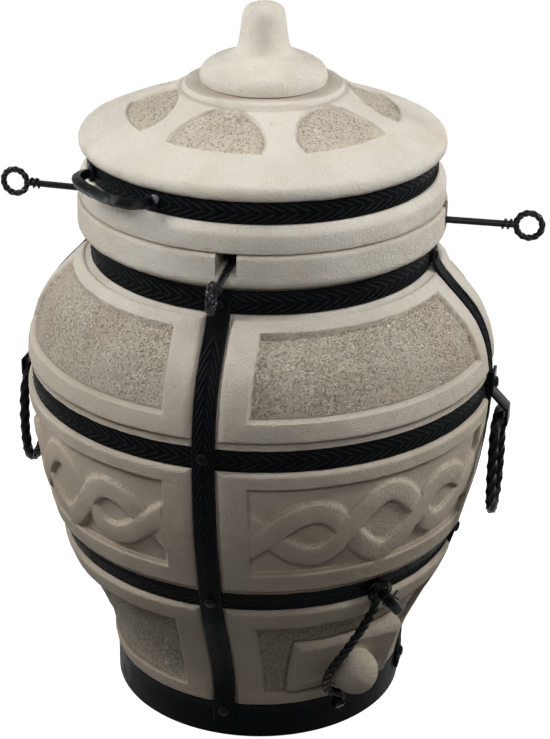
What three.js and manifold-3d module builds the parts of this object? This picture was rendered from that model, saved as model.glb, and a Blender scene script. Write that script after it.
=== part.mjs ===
// Clay tandoor oven: a fireclay jar with a hollow lid, bound in flat steel, with an ash vent,
// carrying rings and hooked skewers. Millimetres, +Z up, origin at the middle of the base.
// Azimuth 0 faces -Y, where the ash vent is, and turns towards +X.

import * as THREE from 'three';
import { mergeVertices } from 'three/addons/utils/BufferGeometryUtils.js';
import Module from 'manifold-3d';

const wasm = await Module();
wasm.setup();

// ---------------------------------------------------------------- driving dimensions

const touchGap = 0.4; // left between pieces that touch
const roundSteps = 32; // facets round the body, the lid and the hoops
const quarters = 4;

// The outer face of the tiles, from the foot up to the neck: radius and height.
const wallOutline = [
  [181, 45], [191, 90], [214, 144], [240, 198], [258, 261], [273, 324],
  [281, 395], [281.5, 436], [276, 477], [261, 513], [238, 541], [211, 569],
];
// The inner face of the chamber, from the grate ledge up to the mouth.
const chamberOutline = [[146, 184], [196, 270], [236, 415], [202, 530], [150, 602]];

const steelThickness = 4;
const hoopHeight = 27;
const baseRingRadius = 180;
const baseRingHeight = 45;

const tileRound = 3; // the small bevel along the edges of the tiles
const hoopInset = 6; // outer face of a hoop below the face of the tiles
const ledgeInset = 4; // clay ledge between a hoop and the tiles above it
const lowerHoopBottom = 213.5;
const lowerLedgeHeight = 6;
const bellyHoopBottom = 412;
const bellyLedgeHeight = 9;

const tileTop = 568; // upper edge of the upper tiles
const neckRadius = 198;
const neckHoopBottom = 568.8;
// Heights of the two joints in the clay, each behind the middle of a hoop.
const baseJointHeight = lowerHoopBottom + hoopHeight / 2;
const rimJointHeight = neckHoopBottom + hoopHeight / 2;
const rimBottom = 602;
const rimTop = 642;
const rimRadius = 216.5;
const rimRound = 9;
const mouthRadius = 150;

const floorThickness = 50;
const ashPitRadius = 124;
const grateLedgeHeight = 170;

const panelDepth = 6;
const panelBorder = 48; // from the middle of a strap to the panel
const lowerPanel = [64, 186]; // heights
const middlePanel = [272, 393];
const upperPanel = [473, 556];

const strapAzimuth = 45;
const strapWidth = 26;
const strapInset = 1.2; // outer face of a strap below the face of the tiles
const strapFootHeight = 20;
const strapWallStart = 64;
const strapWallEnd = 553;
const strapTabBend = neckHoopBottom + 2.2;
const strapTabTop = neckHoopBottom + 21.2;
const channelSide = 2; // gap beside a strap at the channel's floor
const channelSlope = 9; // width of the channel's sloping sides

const rivetRadius = 7;
const rivetHeight = 4;
const neckRivetHeight = neckHoopBottom + 11.2;
const bellyRivetHeight = bellyHoopBottom + 15.5;
const lowerRivetHeight = 227;
const baseRivetHeight = 38;

const notchAzimuths = [-42.5, 47.5, 137, -137];
const notchWidth = 23.5;
const notchDepth = 24;
const skewerReach = [290, 312, 308, 310]; // from the axis to the middle of the ring
const skewerRadius = 4;
const skewerRingRadius = 15;
const skewerRingBar = 6;
const skewerBend = 126; // distance of the hanging leg from the axis
const skewerBendRadius = 14;
const skewerLeg = 400;
const skewerPoint = 30;

const grateRadius = 140;
const grateThickness = 8;
const grateSlotWidth = 13;
const grateBarWidth = 11;
const grateRim = 14;

const ventAzimuth = -1.5;
const ventHeight = 109; // middle of the vent
const ventTurn = -6.9; // how far the vent and its plug are turned from square to the wall
const tunnelWidth = 104;
const tunnelHeight = 56;
const tunnelClearance = 1.5;
const tenonDepth = 26;
const plugTopWidth = 139;
const plugBottomWidth = 130.5;
const plugHeight = 93;
const plugChamfer = 6;
const plugStand = 6.5; // front of the plate in front of the tiles
const plugRoot = 45; // how far the plate's block runs back before the wall cuts it
const plugKnobRadius = 28;
const plugKnobStand = 18; // middle of the knob in front of the plate
const plugKnobShift = [5, 5]; // right of and above the middle of the plate

const latchAzimuth = 1.9;
const latchHeight = lowerHoopBottom + 12.5;
const latchTilt = 12; // the pin slopes down from level by this
const latchPinRadius = 6;
const latchPinLength = 49;
const latchWeldRadius = 9;
const latchWeldHeight = 3;
const latchRunningGap = 0.6;
const latchBarWidth = 8.5;
const latchEyeStand = 13; // middle of the eye along the pin
const latchClipStand = 25;
const latchClipBar = 2.4;
// The latch bar in the frame of its pin: it hangs across the plate to the left of the knob and
// ends in a scroll below it.
const latchPath = [
  [-5, -13, 13], [-21, -42, 15], [-36, -76, 11], [-49, -112, 4], [-48, -132, 0], [-40, -150, -2],
  [-32, -155, -1], [-27, -159, 1], [-17, -171, 3], [-18, -180, 1], [-30, -174, -2],
];
const latchTwistPitch = 34;

const bracketWidth = 26;
const bracketTabTop = bellyRivetHeight + 16;
const bracketTabBottom = bellyRivetHeight - 12;
const bracketReach = 19;
const bracketDrop = 20;
const bracketLipDrop = 18;
const bracketLipReturn = 10;
const carryRingBar = 11;
const carryRingWidth = 80; // between the middles of the two sides
const carryRingDrop = 120; // from the hinge to the middle of the lowest bar
const carryRingTop = 18; // half of the straight top
const carryRingHinge = bracketTabBottom - bracketDrop - 12;
const carryRingPlay = 3; // between the bar and the bracket
const carryRingTwistTurns = 6.75;

const lidGap = 0.4;
const lidRimRadius = 214;
const lidHoopBottom = 674.5;
const lidHoopHeight = 26;
const lidHoopRadius = 204;
const lidPlateRadius = 213;
const lidLipRadius = 146;
const lidLipDepth = 12;
const lidCavityRadius = 128;
const lidThroatRadius = 45;
const lidThroatDepth = 34;
// The domed plate, from its rim up to the collar round the chimney hole.
const domeOutline = [[206, 720], [185, 729], [160, 738], [138, 747], [119, 756], [101, 767]];
const collarRadius = 93;
const collarHeight = 774.4;
const archCount = 6;
const archFirstAzimuth = 6.5;
const archDepth = 3;
const archFoot = 158; // distance of the foot of an arch from the axis
const archHead = 97;
const archHalfAngle = 21.5;

const lidHandleAzimuth = 96; // of the right handle, with the left one opposite
const lidHandleHeight = lidHoopBottom + lidHoopHeight / 2;
const lidHandleBar = 11;
const lidHandleHalfAngle = 16.5;
const lidHandleReach = lidHoopRadius + 29; // from the axis to the middle of the bar
const lidHandlePad = [15, 17, 3]; // width, height and thickness

const capRadius = 73;
const capHeight = 93;
const capStubRadius = 42;
const capStubDepth = 14;
// The cap above its seat, up to the foot of the knob's rounded end.
const capOutline = [[73, 5], [72, 14], [66, 21], [56, 26.5], [44, 30.5], [35, 35],
  [30, 40], [27.6, 48], [24.4, 78]];

// ---------------------------------------------------------------- materials

const paint = (color, roughness, metalness) =>
  () => new THREE.MeshStandardMaterial({ color, roughness, metalness });
const clay = paint(0xe4d8c4, 0.92, 0);
const steel = paint(0x23262a, 0.55, 0.6);
const iron = paint(0x2e2d2c, 0.8, 0.5);

// ---------------------------------------------------------------- solids and booleans

function solidOf(geometry) {
  const bare = geometry.clone();
  bare.deleteAttribute('normal');
  bare.deleteAttribute('uv');
  const merged = mergeVertices(bare, 1e-4);
  return new wasm.Manifold(new wasm.Mesh({
    numProp: 3,
    vertProperties: new Float32Array(merged.attributes.position.array),
    triVerts: new Uint32Array(merged.index.array),
  }));
}

function geometryOf(solid) {
  const mesh = solid.getMesh();
  const geometry = new THREE.BufferGeometry();
  geometry.setAttribute('position', new THREE.BufferAttribute(mesh.vertProperties, 3));
  geometry.setIndex(new THREE.BufferAttribute(mesh.triVerts, 1));
  geometry.computeVertexNormals();
  return geometry;
}

const joined = (first, ...others) => others.reduce((sum, solid) => sum.add(solid), first);
const cut = (body, ...tools) => tools.reduce((rest, tool) => rest.subtract(tool), body);

// ---------------------------------------------------------------- outlines

const rad = THREE.MathUtils.degToRad;
const vector2s = (pairs) => pairs.map(([x, y]) => new THREE.Vector2(x, y));
const wallCurve = new THREE.SplineCurve(vector2s(wallOutline));
const chamberCurve = new THREE.SplineCurve(vector2s(chamberOutline));
const domeCurve = new THREE.SplineCurve(vector2s(domeOutline));

// The point of a rising curve at a height, moved back by an inset square to the curve.
function curvePoint(curve, height, inset) {
  let low = 0;
  let high = 1;
  const point = new THREE.Vector2();
  for (let i = 0; i < 40; i++) {
    const middle = (low + high) / 2;
    const tangent = curve.getTangent(middle);
    curve.getPoint(middle, point);
    point.x -= inset * tangent.y;
    point.y += inset * tangent.x;
    if (point.y < height) {
      low = middle;
    } else {
      high = middle;
    }
  }
  return new THREE.Vector2(point.x, height);
}

function circlePoints(radius, count) {
  return Array.from({ length: count }, (_, k) => {
    const angle = (2 * Math.PI * k) / count;
    return new THREE.Vector2(radius * Math.cos(angle), radius * Math.sin(angle));
  });
}

const wallPoint = (height, inset = 0) => curvePoint(wallCurve, height, inset);

// How far the wall leans out from upright at a height.
function wallLean(height) {
  const step = 2;
  const rise = wallPoint(height + step).sub(wallPoint(height - step));
  return Math.atan2(rise.x, rise.y);
}

function curveLine(curve, bottom, top, inset, steps) {
  const line = [];
  for (let i = 0; i <= steps; i++) {
    line.push(curvePoint(curve, THREE.MathUtils.lerp(bottom, top, i / steps), inset));
  }
  return line;
}

// One tier of tiles between two heights, with its bevelled edges.
function tierLine(bottom, top, steps) {
  return [
    wallPoint(bottom, tileRound),
    ...curveLine(wallCurve, bottom + tileRound, top - tileRound, 0, steps),
    wallPoint(top, tileRound),
  ];
}

// A profile of radius and height, counter-clockwise, turned round the Z axis.
function revolve(points, steps = roundSteps) {
  const first = points[0];
  const last = points[points.length - 1];
  const closes = first.x === 0 && last.x === 0;
  const profile = closes ? points : [...points, first.clone()];
  return new THREE.LatheGeometry(profile, steps).rotateX(Math.PI / 2);
}

// A block at azimuth 0 between two radii and two heights.
function radialBlock(width, inner, outer, bottom, top) {
  return new THREE.BoxGeometry(width, outer - inner, top - bottom)
    .translate(0, -(inner + outer) / 2, (bottom + top) / 2);
}

// A bar along a curve. Its section is counter-clockwise seen against the way it runs.
function barAlong(curve, steps, section, closed = false) {
  const frames = curve.computeFrenetFrames(steps, closed);
  const rings = closed ? steps : steps + 1;
  const sides = section(0).length;
  const positions = [];
  for (let i = 0; i < rings; i++) {
    const centre = curve.getPointAt(i / steps);
    for (const [across, out] of section(i / steps)) {
      const corner = centre.clone()
        .addScaledVector(frames.normals[i], across)
        .addScaledVector(frames.binormals[i], out);
      positions.push(corner.x, corner.y, corner.z);
    }
  }
  const faces = [];
  for (let i = 0; i < steps; i++) {
    const here = i * sides;
    const next = ((i + 1) % rings) * sides;
    for (let k = 0; k < sides; k++) {
      const j = (k + 1) % sides;
      faces.push(here + k, here + j, next + j);
      faces.push(here + k, next + j, next + k);
    }
  }
  if (!closed) {
    const end = steps * sides;
    for (let k = 1; k < sides - 1; k++) {
      faces.push(0, k + 1, k);
      faces.push(end, end + k, end + k + 1);
    }
  }
  const geometry = new THREE.BufferGeometry();
  geometry.setAttribute('position', new THREE.Float32BufferAttribute(positions, 3));
  geometry.setIndex(faces);
  geometry.computeVertexNormals();
  return geometry;
}

function roundSection(radius, sides, scale = () => 1) {
  return (u) => Array.from({ length: sides }, (_, k) => {
    const angle = (2 * Math.PI * (k + 0.5)) / sides;
    return [radius * scale(u) * Math.cos(angle), radius * scale(u) * Math.sin(angle)];
  });
}

// A square bar that turns about its own line.
function twistedSection(width, turns) {
  return (u) => Array.from({ length: 4 }, (_, k) => {
    const angle = 2 * Math.PI * (turns * u + k / 4);
    return [(width / Math.SQRT2) * Math.cos(angle), (width / Math.SQRT2) * Math.sin(angle)];
  });
}

// A path with straight runs and small bends, so that offset faces stay parallel.
class PolylineCurve extends THREE.Curve {
  constructor(points) {
    super();
    this.points = points;
  }

  getPoint(t, target = new THREE.Vector3()) {
    const last = this.points.length - 1;
    const index = Math.min(Math.floor(t * last), last - 1);
    return target.lerpVectors(this.points[index], this.points[index + 1], t * last - index);
  }

  getPointAt(u, target) {
    return this.getPoint(u, target);
  }

  getTangentAt(u, target = new THREE.Vector3()) {
    const last = this.points.length - 1;
    const index = Math.round(u * last);
    const before = this.points[Math.max(index - 1, 0)];
    const after = this.points[Math.min(index + 1, last)];
    return target.subVectors(after, before).normalize();
  }

  // The path stays in the plane of azimuth 0, so the width of its section runs along X.
  computeFrenetFrames(steps) {
    const tangents = Array.from({ length: steps + 1 }, (_, i) => this.getTangentAt(i / steps));
    const normals = tangents.map(() => new THREE.Vector3(-1, 0, 0));
    const binormals = tangents.map((tangent, i) => tangent.clone().cross(normals[i]));
    return { tangents, normals, binormals };
  }
}

// ---------------------------------------------------------------- placing

function piece(name, geometry, material) {
  const mesh = new THREE.Mesh(geometry, material());
  mesh.name = name;
  return mesh;
}

function atAzimuth(azimuth, ...meshes) {
  const group = new THREE.Group();
  group.rotation.z = rad(azimuth);
  group.add(...meshes);
  return group;
}

const atQuarter = (index) => strapAzimuth + index * 90;

// Takes a shape at azimuth 0 to the vent, turned about the upright line through its middle.
function atVent(geometry) {
  const face = wallPoint(ventHeight).x;
  return geometry.translate(0, face, 0).rotateZ(rad(ventTurn)).translate(0, -face, 0)
    .rotateZ(rad(ventAzimuth));
}

// ---------------------------------------------------------------- straps

// The middle line of a strap at azimuth 0, from its foot on the base ring to its neck tab.
function strapLine() {
  const foot = baseRingRadius + touchGap + steelThickness / 2;
  const tab = neckRadius + 2 * touchGap + 1.5 * steelThickness;
  const inset = strapInset + steelThickness / 2;
  return [
    new THREE.Vector2(foot, strapFootHeight),
    new THREE.Vector2(foot, baseRingHeight),
    ...curveLine(wallCurve, strapWallStart, strapWallEnd, inset, 11),
    new THREE.Vector2(tab, strapTabBend),
    new THREE.Vector2(tab, strapTabTop),
  ];
}

function strapPath() {
  return new PolylineCurve(strapLine().map(({ x, y }) => new THREE.Vector3(0, -x, y)));
}

function strapSection() {
  const side = strapWidth / 2;
  const half = steelThickness / 2;
  return () => [[-side, -half], [side, -half], [side, half], [-side, half]];
}

function channelSection() {
  const floor = -steelThickness / 2 - touchGap - 0.2;
  const side = strapWidth / 2 + channelSide;
  const face = steelThickness / 2 + strapInset;
  const beyond = 40;
  return () => [
    [-side, floor], [side, floor], [side + channelSlope, face],
    [side + channelSlope, beyond], [-side - channelSlope, beyond], [-side - channelSlope, face],
  ];
}

function strap() {
  const path = strapPath();
  return barAlong(path, path.points.length - 1, strapSection());
}

// ---------------------------------------------------------------- body

const hoopFloor = hoopInset + steelThickness + touchGap;
const clayFootRadius = baseRingRadius - steelThickness - touchGap;

// The clay seat of a hoop and the ledge above it.
function hoopSeat(bottom, ledgeHeight) {
  const seatBottom = bottom - touchGap;
  const seatTop = bottom + hoopHeight + touchGap;
  return [
    wallPoint(seatBottom, hoopFloor),
    wallPoint(seatTop, hoopFloor),
    wallPoint(seatTop, ledgeInset),
    wallPoint(seatTop + ledgeHeight, ledgeInset),
  ];
}

function bodyProfile() {
  const footTop = baseRingHeight + touchGap;
  const lowerTop = lowerHoopBottom - touchGap;
  const middleBottom = lowerHoopBottom + hoopHeight + touchGap + lowerLedgeHeight;
  const middleTop = bellyHoopBottom - touchGap;
  const upperBottom = bellyHoopBottom + hoopHeight + touchGap + bellyLedgeHeight;
  const rimArc = [];
  for (let i = 0; i <= 2; i++) {
    const angle = (i / 2) * Math.PI / 2;
    rimArc.push(new THREE.Vector2(
      rimRadius - rimRound + rimRound * Math.sin(angle),
      rimBottom + rimRound - rimRound * Math.cos(angle),
    ));
  }
  return [
    new THREE.Vector2(0, 0),
    new THREE.Vector2(clayFootRadius, 0),
    new THREE.Vector2(clayFootRadius, footTop),
    ...tierLine(footTop, lowerTop, 3),
    ...hoopSeat(lowerHoopBottom, lowerLedgeHeight),
    ...tierLine(middleBottom, middleTop, 3),
    ...hoopSeat(bellyHoopBottom, bellyLedgeHeight),
    ...tierLine(upperBottom, tileTop, 3),
    new THREE.Vector2(neckRadius, tileTop),
    new THREE.Vector2(neckRadius, rimBottom),
    ...rimArc,
    new THREE.Vector2(rimRadius, rimTop),
    new THREE.Vector2(mouthRadius, rimTop),
    ...chamberWall(),
    new THREE.Vector2(ashPitRadius, grateLedgeHeight),
    new THREE.Vector2(ashPitRadius, floorThickness),
    new THREE.Vector2(0, floorThickness),
  ];
}

function chamberWall() {
  const line = [];
  const steps = 5;
  for (let i = steps; i >= 0; i--) {
    line.push(chamberCurve.getPoint(i / steps));
  }
  const [ledgeRadius] = chamberOutline[0];
  return [...line, new THREE.Vector2(ledgeRadius, grateLedgeHeight)];
}

const panelFloor = ([bottom, top], inset) =>
  curveLine(wallCurve, bottom + tileRound, top - tileRound, inset, 3);

// The recessed panels of one tier: a ring of clay, kept only between the straps.
function panelCutter([bottom, top]) {
  const beyond = 330;
  const floor = panelFloor([bottom, top], panelDepth);
  const ring = solidOf(revolve([
    ...floor.reverse(),
    wallPoint(bottom, 0),
    new THREE.Vector2(beyond, bottom),
    new THREE.Vector2(beyond, top),
    wallPoint(top, 0),
  ]));
  const windows = [];
  for (let i = 0; i < quarters; i++) {
    const size = beyond - panelBorder;
    const window = new THREE.BoxGeometry(size, size, top + bottom);
    window.translate(panelBorder + size / 2, panelBorder + size / 2, (top + bottom) / 2);
    window.rotateZ(rad(strapAzimuth + i * 90));
    windows.push(solidOf(window));
  }
  return ring.intersect(joined(...windows));
}

// The clay in its three pieces: the base with the vent, the belly, and the neck with the rim.
function clayPieces() {
  let body = solidOf(revolve(bodyProfile()));
  body = cut(body, panelCutter(lowerPanel), panelCutter(middlePanel), panelCutter(upperPanel));
  const path = strapPath();
  for (let i = 0; i < quarters; i++) {
    const channel = barAlong(path, path.points.length - 1, channelSection());
    body = cut(body, solidOf(channel.rotateZ(rad(atQuarter(i)))));
  }
  for (const azimuth of notchAzimuths) {
    const notch = radialBlock(notchWidth, mouthRadius - 20, rimRadius + 20,
      rimTop - notchDepth, rimTop + 10);
    body = cut(body, solidOf(notch.rotateZ(rad(azimuth))));
  }
  const tunnel = radialBlock(tunnelWidth, ashPitRadius - 40, wallPoint(ventHeight).x + 40,
    ventHeight - tunnelHeight / 2, ventHeight + tunnelHeight / 2);
  const whole = cut(body, solidOf(atVent(tunnel)));
  const half = touchGap / 2;
  const above = (solid, height) => solid.trimByPlane([0, 0, 1], height + half);
  const below = (solid, height) => solid.trimByPlane([0, 0, -1], half - height);
  return {
    clay_base: below(whole, baseJointHeight),
    clay_body: above(below(whole, rimJointHeight), baseJointHeight),
    clay_rim: above(whole, rimJointHeight),
  };
}

// ---------------------------------------------------------------- hoops

function wallHoop(bottom) {
  return revolve([
    wallPoint(bottom, hoopInset + steelThickness),
    wallPoint(bottom, hoopInset),
    wallPoint(bottom + hoopHeight, hoopInset),
    wallPoint(bottom + hoopHeight, hoopInset + steelThickness),
  ]);
}

function straightHoop(outer, bottom, height) {
  const inner = outer - steelThickness;
  return revolve(vector2s([
    [inner, bottom], [outer, bottom], [outer, bottom + height], [inner, bottom + height],
  ]));
}

// ---------------------------------------------------------------- rivets

function rivet() {
  return revolve(vector2s([
    [0, 0], [rivetRadius, 0], [rivetRadius * 0.72, rivetHeight * 0.8], [0, rivetHeight],
  ]), 8);
}

// A rivet head on a face at azimuth 0 that leans out from upright.
function rivetAt(name, radius, height, lean) {
  const mesh = piece(name, rivet(), steel);
  mesh.position.set(0, -radius, height);
  mesh.rotation.x = Math.PI / 2 + lean;
  return mesh;
}

function strapRivets(index, belongsToBracket) {
  const outer = strapInset - touchGap;
  const tab = neckRadius + 3 * touchGap + 2 * steelThickness;
  const foot = baseRingRadius + 2 * touchGap + steelThickness;
  const bracket = belongsToBracket ? steelThickness + touchGap : 0;
  const bellyFace = belongsToBracket ? bracketFace() : wallPoint(bellyRivetHeight, outer).x;
  const lean = wallLean(lowerRivetHeight);
  return [
    rivetAt(`neck_rivet_${index}`, tab, neckRivetHeight, 0),
    rivetAt(`belly_rivet_${index}`, bellyFace + bracket, bellyRivetHeight, 0),
    rivetAt(`lower_rivet_${index}`, wallPoint(lowerRivetHeight, outer).x, lowerRivetHeight, lean),
    rivetAt(`base_rivet_${index}`, foot, baseRivetHeight, 0),
  ];
}

// ---------------------------------------------------------------- carrying rings

// The face that a bracket tab and the belly rivets sit on, just clear of the strap.
function bracketFace() {
  const heights = strapLine().filter(({ y }) => y > bracketTabBottom - 30 && y < bracketTabTop + 30);
  return Math.max(...heights.map(({ x }) => x)) + steelThickness / 2 + touchGap;
}

function bracket() {
  const tab = bracketFace() + steelThickness / 2;
  const shoulder = tab + bracketReach;
  const shoulderHeight = bracketTabBottom - bracketDrop;
  const line = vector2s([
    [tab, bracketTabTop],
    [tab, bracketTabBottom],
    [shoulder, shoulderHeight],
    [shoulder, shoulderHeight - bracketLipDrop],
    [shoulder - bracketLipReturn, shoulderHeight - bracketLipDrop - 7],
  ]);
  const path = new PolylineCurve(line.reverse().map(({ x, y }) => new THREE.Vector3(0, -x, y)));
  const side = bracketWidth / 2;
  const half = steelThickness / 2;
  return barAlong(path, line.length - 1,
    () => [[-side, -half], [side, -half], [side, half], [-side, half]]);
}

function carryRingRadius() {
  const shoulder = bracketFace() + steelThickness / 2 + bracketReach;
  return shoulder - steelThickness / 2 - carryRingPlay - carryRingBar / 2;
}

// A ring that hangs from its hinge line at azimuth 0.
function carryRing() {
  const side = carryRingWidth / 2;
  const radius = carryRingRadius();
  const half = [
    [carryRingTop, 0], [side * 0.85, -0.1 * carryRingDrop], [side, -0.32 * carryRingDrop],
    [side, -0.65 * carryRingDrop], [side * 0.78, -0.88 * carryRingDrop],
    [carryRingTop * 0.67, -carryRingDrop + 1],
  ];
  const mirrored = half.map(([x, z]) => [-x, z]).reverse();
  const points = [...half, ...mirrored].map(([x, z]) => new THREE.Vector3(x, -radius, carryRingHinge + z));
  const path = new THREE.CatmullRomCurve3(points, true, 'centripetal');
  return barAlong(path, 48, twistedSection(carryRingBar, carryRingTwistTurns), true);
}

// ---------------------------------------------------------------- skewers

// A rod that lies in a notch at azimuth 0, bends down inside the mouth and ends in a point.
function skewer(reach) {
  const height = rimTop - notchDepth + touchGap + skewerRadius;
  const foot = height - skewerLeg;
  const route = [new THREE.Vector3(0, skewerRingRadius - reach, height)];
  for (let i = 0; i <= 4; i++) {
    const angle = (i / 4) * Math.PI / 2;
    route.push(new THREE.Vector3(
      0,
      -skewerBend - skewerBendRadius * (1 - Math.sin(angle)),
      height - skewerBendRadius * (1 - Math.cos(angle)),
    ));
  }
  route.push(new THREE.Vector3(0, -skewerBend, foot + skewerPoint));
  route.push(new THREE.Vector3(0, -skewerBend, foot));
  const taper = (u) => (u === 1 ? 0.2 : 1);
  const rod = barAlong(new PolylineCurve(route), route.length - 1,
    roundSection(skewerRadius, 6, taper));
  const centre = new THREE.Vector3(0, -reach, height);
  const circle = circlePoints(skewerRingRadius, 10)
    .map(({ x, y }) => new THREE.Vector3(0, x, y).add(centre));
  const ring = barAlong(new THREE.CatmullRomCurve3(circle, true), 18,
    twistedSection(skewerRingBar, 2), true);
  return geometryOf(joined(solidOf(rod), solidOf(ring)));
}

// ---------------------------------------------------------------- grate

// A round plate with rows of slots on both sides of a middle bar.
function grate() {
  const height = grateLedgeHeight + touchGap + grateThickness / 2;
  const disc = new THREE.CylinderGeometry(grateRadius, grateRadius, grateThickness, 28);
  const pitch = grateSlotWidth + grateBarWidth;
  const slotLimit = grateRadius - grateRim;
  const rows = Math.floor((slotLimit - grateSlotWidth) / pitch);
  let plate = solidOf(disc.rotateX(Math.PI / 2).translate(0, 0, height));
  for (let row = -rows; row <= rows; row++) {
    const edge = Math.abs(row * pitch) + grateSlotWidth / 2;
    const far = Math.sqrt(slotLimit ** 2 - edge ** 2);
    const near = grateBarWidth / 2;
    for (const side of [-1, 1]) {
      const slot = new THREE.BoxGeometry(far - near, grateSlotWidth, 3 * grateThickness);
      plate = cut(plate, solidOf(slot.translate(side * (near + far) / 2, row * pitch, height)));
    }
  }
  return geometryOf(plate);
}

// ---------------------------------------------------------------- vent plug

// The plug's plate leans with the wall and is hollowed to sit on it.
function ventPlug() {
  const lean = wallLean(ventHeight);
  const face = wallPoint(ventHeight);
  const slab = new THREE.Shape(vector2s([
    [-plugBottomWidth / 2, -plugHeight / 2], [plugBottomWidth / 2, -plugHeight / 2],
    [plugTopWidth / 2, plugHeight / 2], [-plugTopWidth / 2, plugHeight / 2],
  ]));
  const depth = plugStand + plugRoot;
  const [knobX, knobY] = plugKnobShift;
  const plate = new THREE.ExtrudeGeometry(slab, {
    depth: depth - plugChamfer,
    bevelThickness: plugChamfer,
    bevelSize: plugChamfer,
    bevelOffset: -plugChamfer,
    bevelSegments: 1,
  });
  plate.translate(0, 0, plugStand - depth);
  const knob = new THREE.SphereGeometry(plugKnobRadius, 14, 8).rotateX(Math.PI / 2)
    .translate(knobX, knobY, plugStand + plugKnobStand);
  const stem = new THREE.CylinderGeometry(plugKnobRadius * 0.72, plugKnobRadius * 0.95, plugKnobStand, 14)
    .rotateX(Math.PI / 2).translate(knobX, knobY, plugStand + plugKnobStand / 2 - 2);
  const place = (geometry) => solidOf(atVent(geometry
    .rotateX(Math.PI / 2 + lean)
    .translate(0, -face.x, ventHeight)));
  const tileFoot = wallPoint(baseRingHeight + tileRound, -touchGap);
  const tileEnd = wallPoint(lowerHoopBottom, -touchGap);
  const seat = solidOf(revolve([
    new THREE.Vector2(0, tileFoot.y),
    tileFoot,
    wallPoint(lowerPanel[0], -touchGap),
    ...panelFloor(lowerPanel, panelDepth - touchGap),
    wallPoint(lowerPanel[1], -touchGap),
    tileEnd,
    new THREE.Vector2(0, tileEnd.y),
  ]));
  const tenon = solidOf(atVent(radialBlock(
    tunnelWidth - 2 * tunnelClearance, face.x - panelDepth - tenonDepth, face.x,
    ventHeight - tunnelHeight / 2 + tunnelClearance,
    ventHeight + tunnelHeight / 2 - tunnelClearance,
  )));
  const front = cut(place(plate), seat);
  return geometryOf(joined(front, place(knob), place(stem), tenon));
}

// ---------------------------------------------------------------- vent latch

// A frame on the pin: X to the side, Y up the wall and Z out along the pin.
function onLatchPin(...meshes) {
  const group = new THREE.Group();
  const lean = wallLean(latchHeight);
  const stand = Math.abs(rad(latchTilt) - lean) * latchWeldRadius + touchGap;
  const root = wallPoint(latchHeight, hoopInset - stand);
  group.position.set(0, -root.x, latchHeight);
  group.rotation.x = Math.PI / 2 + rad(latchTilt);
  group.add(...meshes);
  return atAzimuth(latchAzimuth, group);
}

function latchPin() {
  const tip = 3;
  return revolve(vector2s([
    [0, 0], [latchWeldRadius, 0], [latchPinRadius, latchWeldHeight],
    [latchPinRadius, latchPinLength - tip], [latchPinRadius - tip + 0.5, latchPinLength],
    [0, latchPinLength],
  ]), 16);
}

function ringAround(radius, section, steps, stand) {
  const points = circlePoints(radius, 12).map(({ x, y }) => new THREE.Vector3(x, y, stand));
  return barAlong(new THREE.CatmullRomCurve3(points, true), steps, section, true);
}

function latchBar() {
  const eyeRadius = latchPinRadius + latchRunningGap + latchBarWidth / 2;
  const points = latchPath.map((point) => new THREE.Vector3(...point));
  const path = new THREE.CatmullRomCurve3(points, false, 'centripetal');
  const length = path.getLength();
  const turns = length / latchTwistPitch;
  const bar = barAlong(path, 30, twistedSection(latchBarWidth, turns));
  const eye = ringAround(eyeRadius, roundSection(latchBarWidth / 2, 6), 16, latchEyeStand);
  return geometryOf(joined(solidOf(eye), solidOf(bar)));
}

function latchClip() {
  const radius = latchPinRadius + touchGap + latchClipBar / 2;
  return ringAround(radius, roundSection(latchClipBar / 2, 5), 18, latchClipStand);
}

// ---------------------------------------------------------------- lid

const lidHoopInner = lidHoopRadius - steelThickness;

function lidProfile() {
  const bottom = rimTop + lidGap;
  const hoopTop = lidHoopBottom + lidHoopHeight + touchGap;
  const plateEdge = [[lidPlateRadius - 7, hoopTop], [lidPlateRadius - 2, hoopTop + 3.5],
    [lidPlateRadius, hoopTop + 8], [lidPlateRadius - 1.5, hoopTop + 14]];
  return [
    ...vector2s([
      [lidLipRadius, bottom], [lidRimRadius - 3, bottom], [lidRimRadius, bottom + 3],
      [lidRimRadius, lidHoopBottom - 8], [lidHoopRadius + 3, lidHoopBottom - touchGap],
      [lidHoopInner - touchGap, lidHoopBottom - touchGap], [lidHoopInner - touchGap, hoopTop],
      ...plateEdge,
    ]),
    ...curveLine(domeCurve, domeOutline[0][1], domeOutline[5][1], 0, 3),
    ...vector2s([
      [collarRadius, collarHeight - 5], [collarRadius - 2, collarHeight],
      [lidThroatRadius, collarHeight], [lidThroatRadius, collarHeight - lidThroatDepth],
      [lidCavityRadius * 0.62, collarHeight - lidThroatDepth - 6], [lidCavityRadius, lidHoopBottom + 10],
      [lidCavityRadius, bottom - lidLipDepth], [lidLipRadius, bottom - lidLipDepth],
    ]),
  ];
}

// One arched panel: a foot that follows the rim and a round head towards the collar.
function archShape() {
  const side = rad(archHalfAngle);
  const points = [];
  for (let i = 0; i <= 4; i++) {
    const angle = THREE.MathUtils.lerp(-side, side, i / 4);
    points.push(new THREE.Vector2(archFoot * Math.sin(angle), -archFoot * Math.cos(angle)));
  }
  const halfWidth = archFoot * Math.sin(side);
  const shoulder = archFoot * Math.cos(side);
  for (let i = 1; i < 7; i++) {
    const angle = (i / 7) * Math.PI;
    points.push(new THREE.Vector2(
      halfWidth * Math.cos(angle),
      -shoulder + (shoulder - archHead) * Math.sin(angle) ** 0.8,
    ));
  }
  return new THREE.Shape(points);
}

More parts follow.
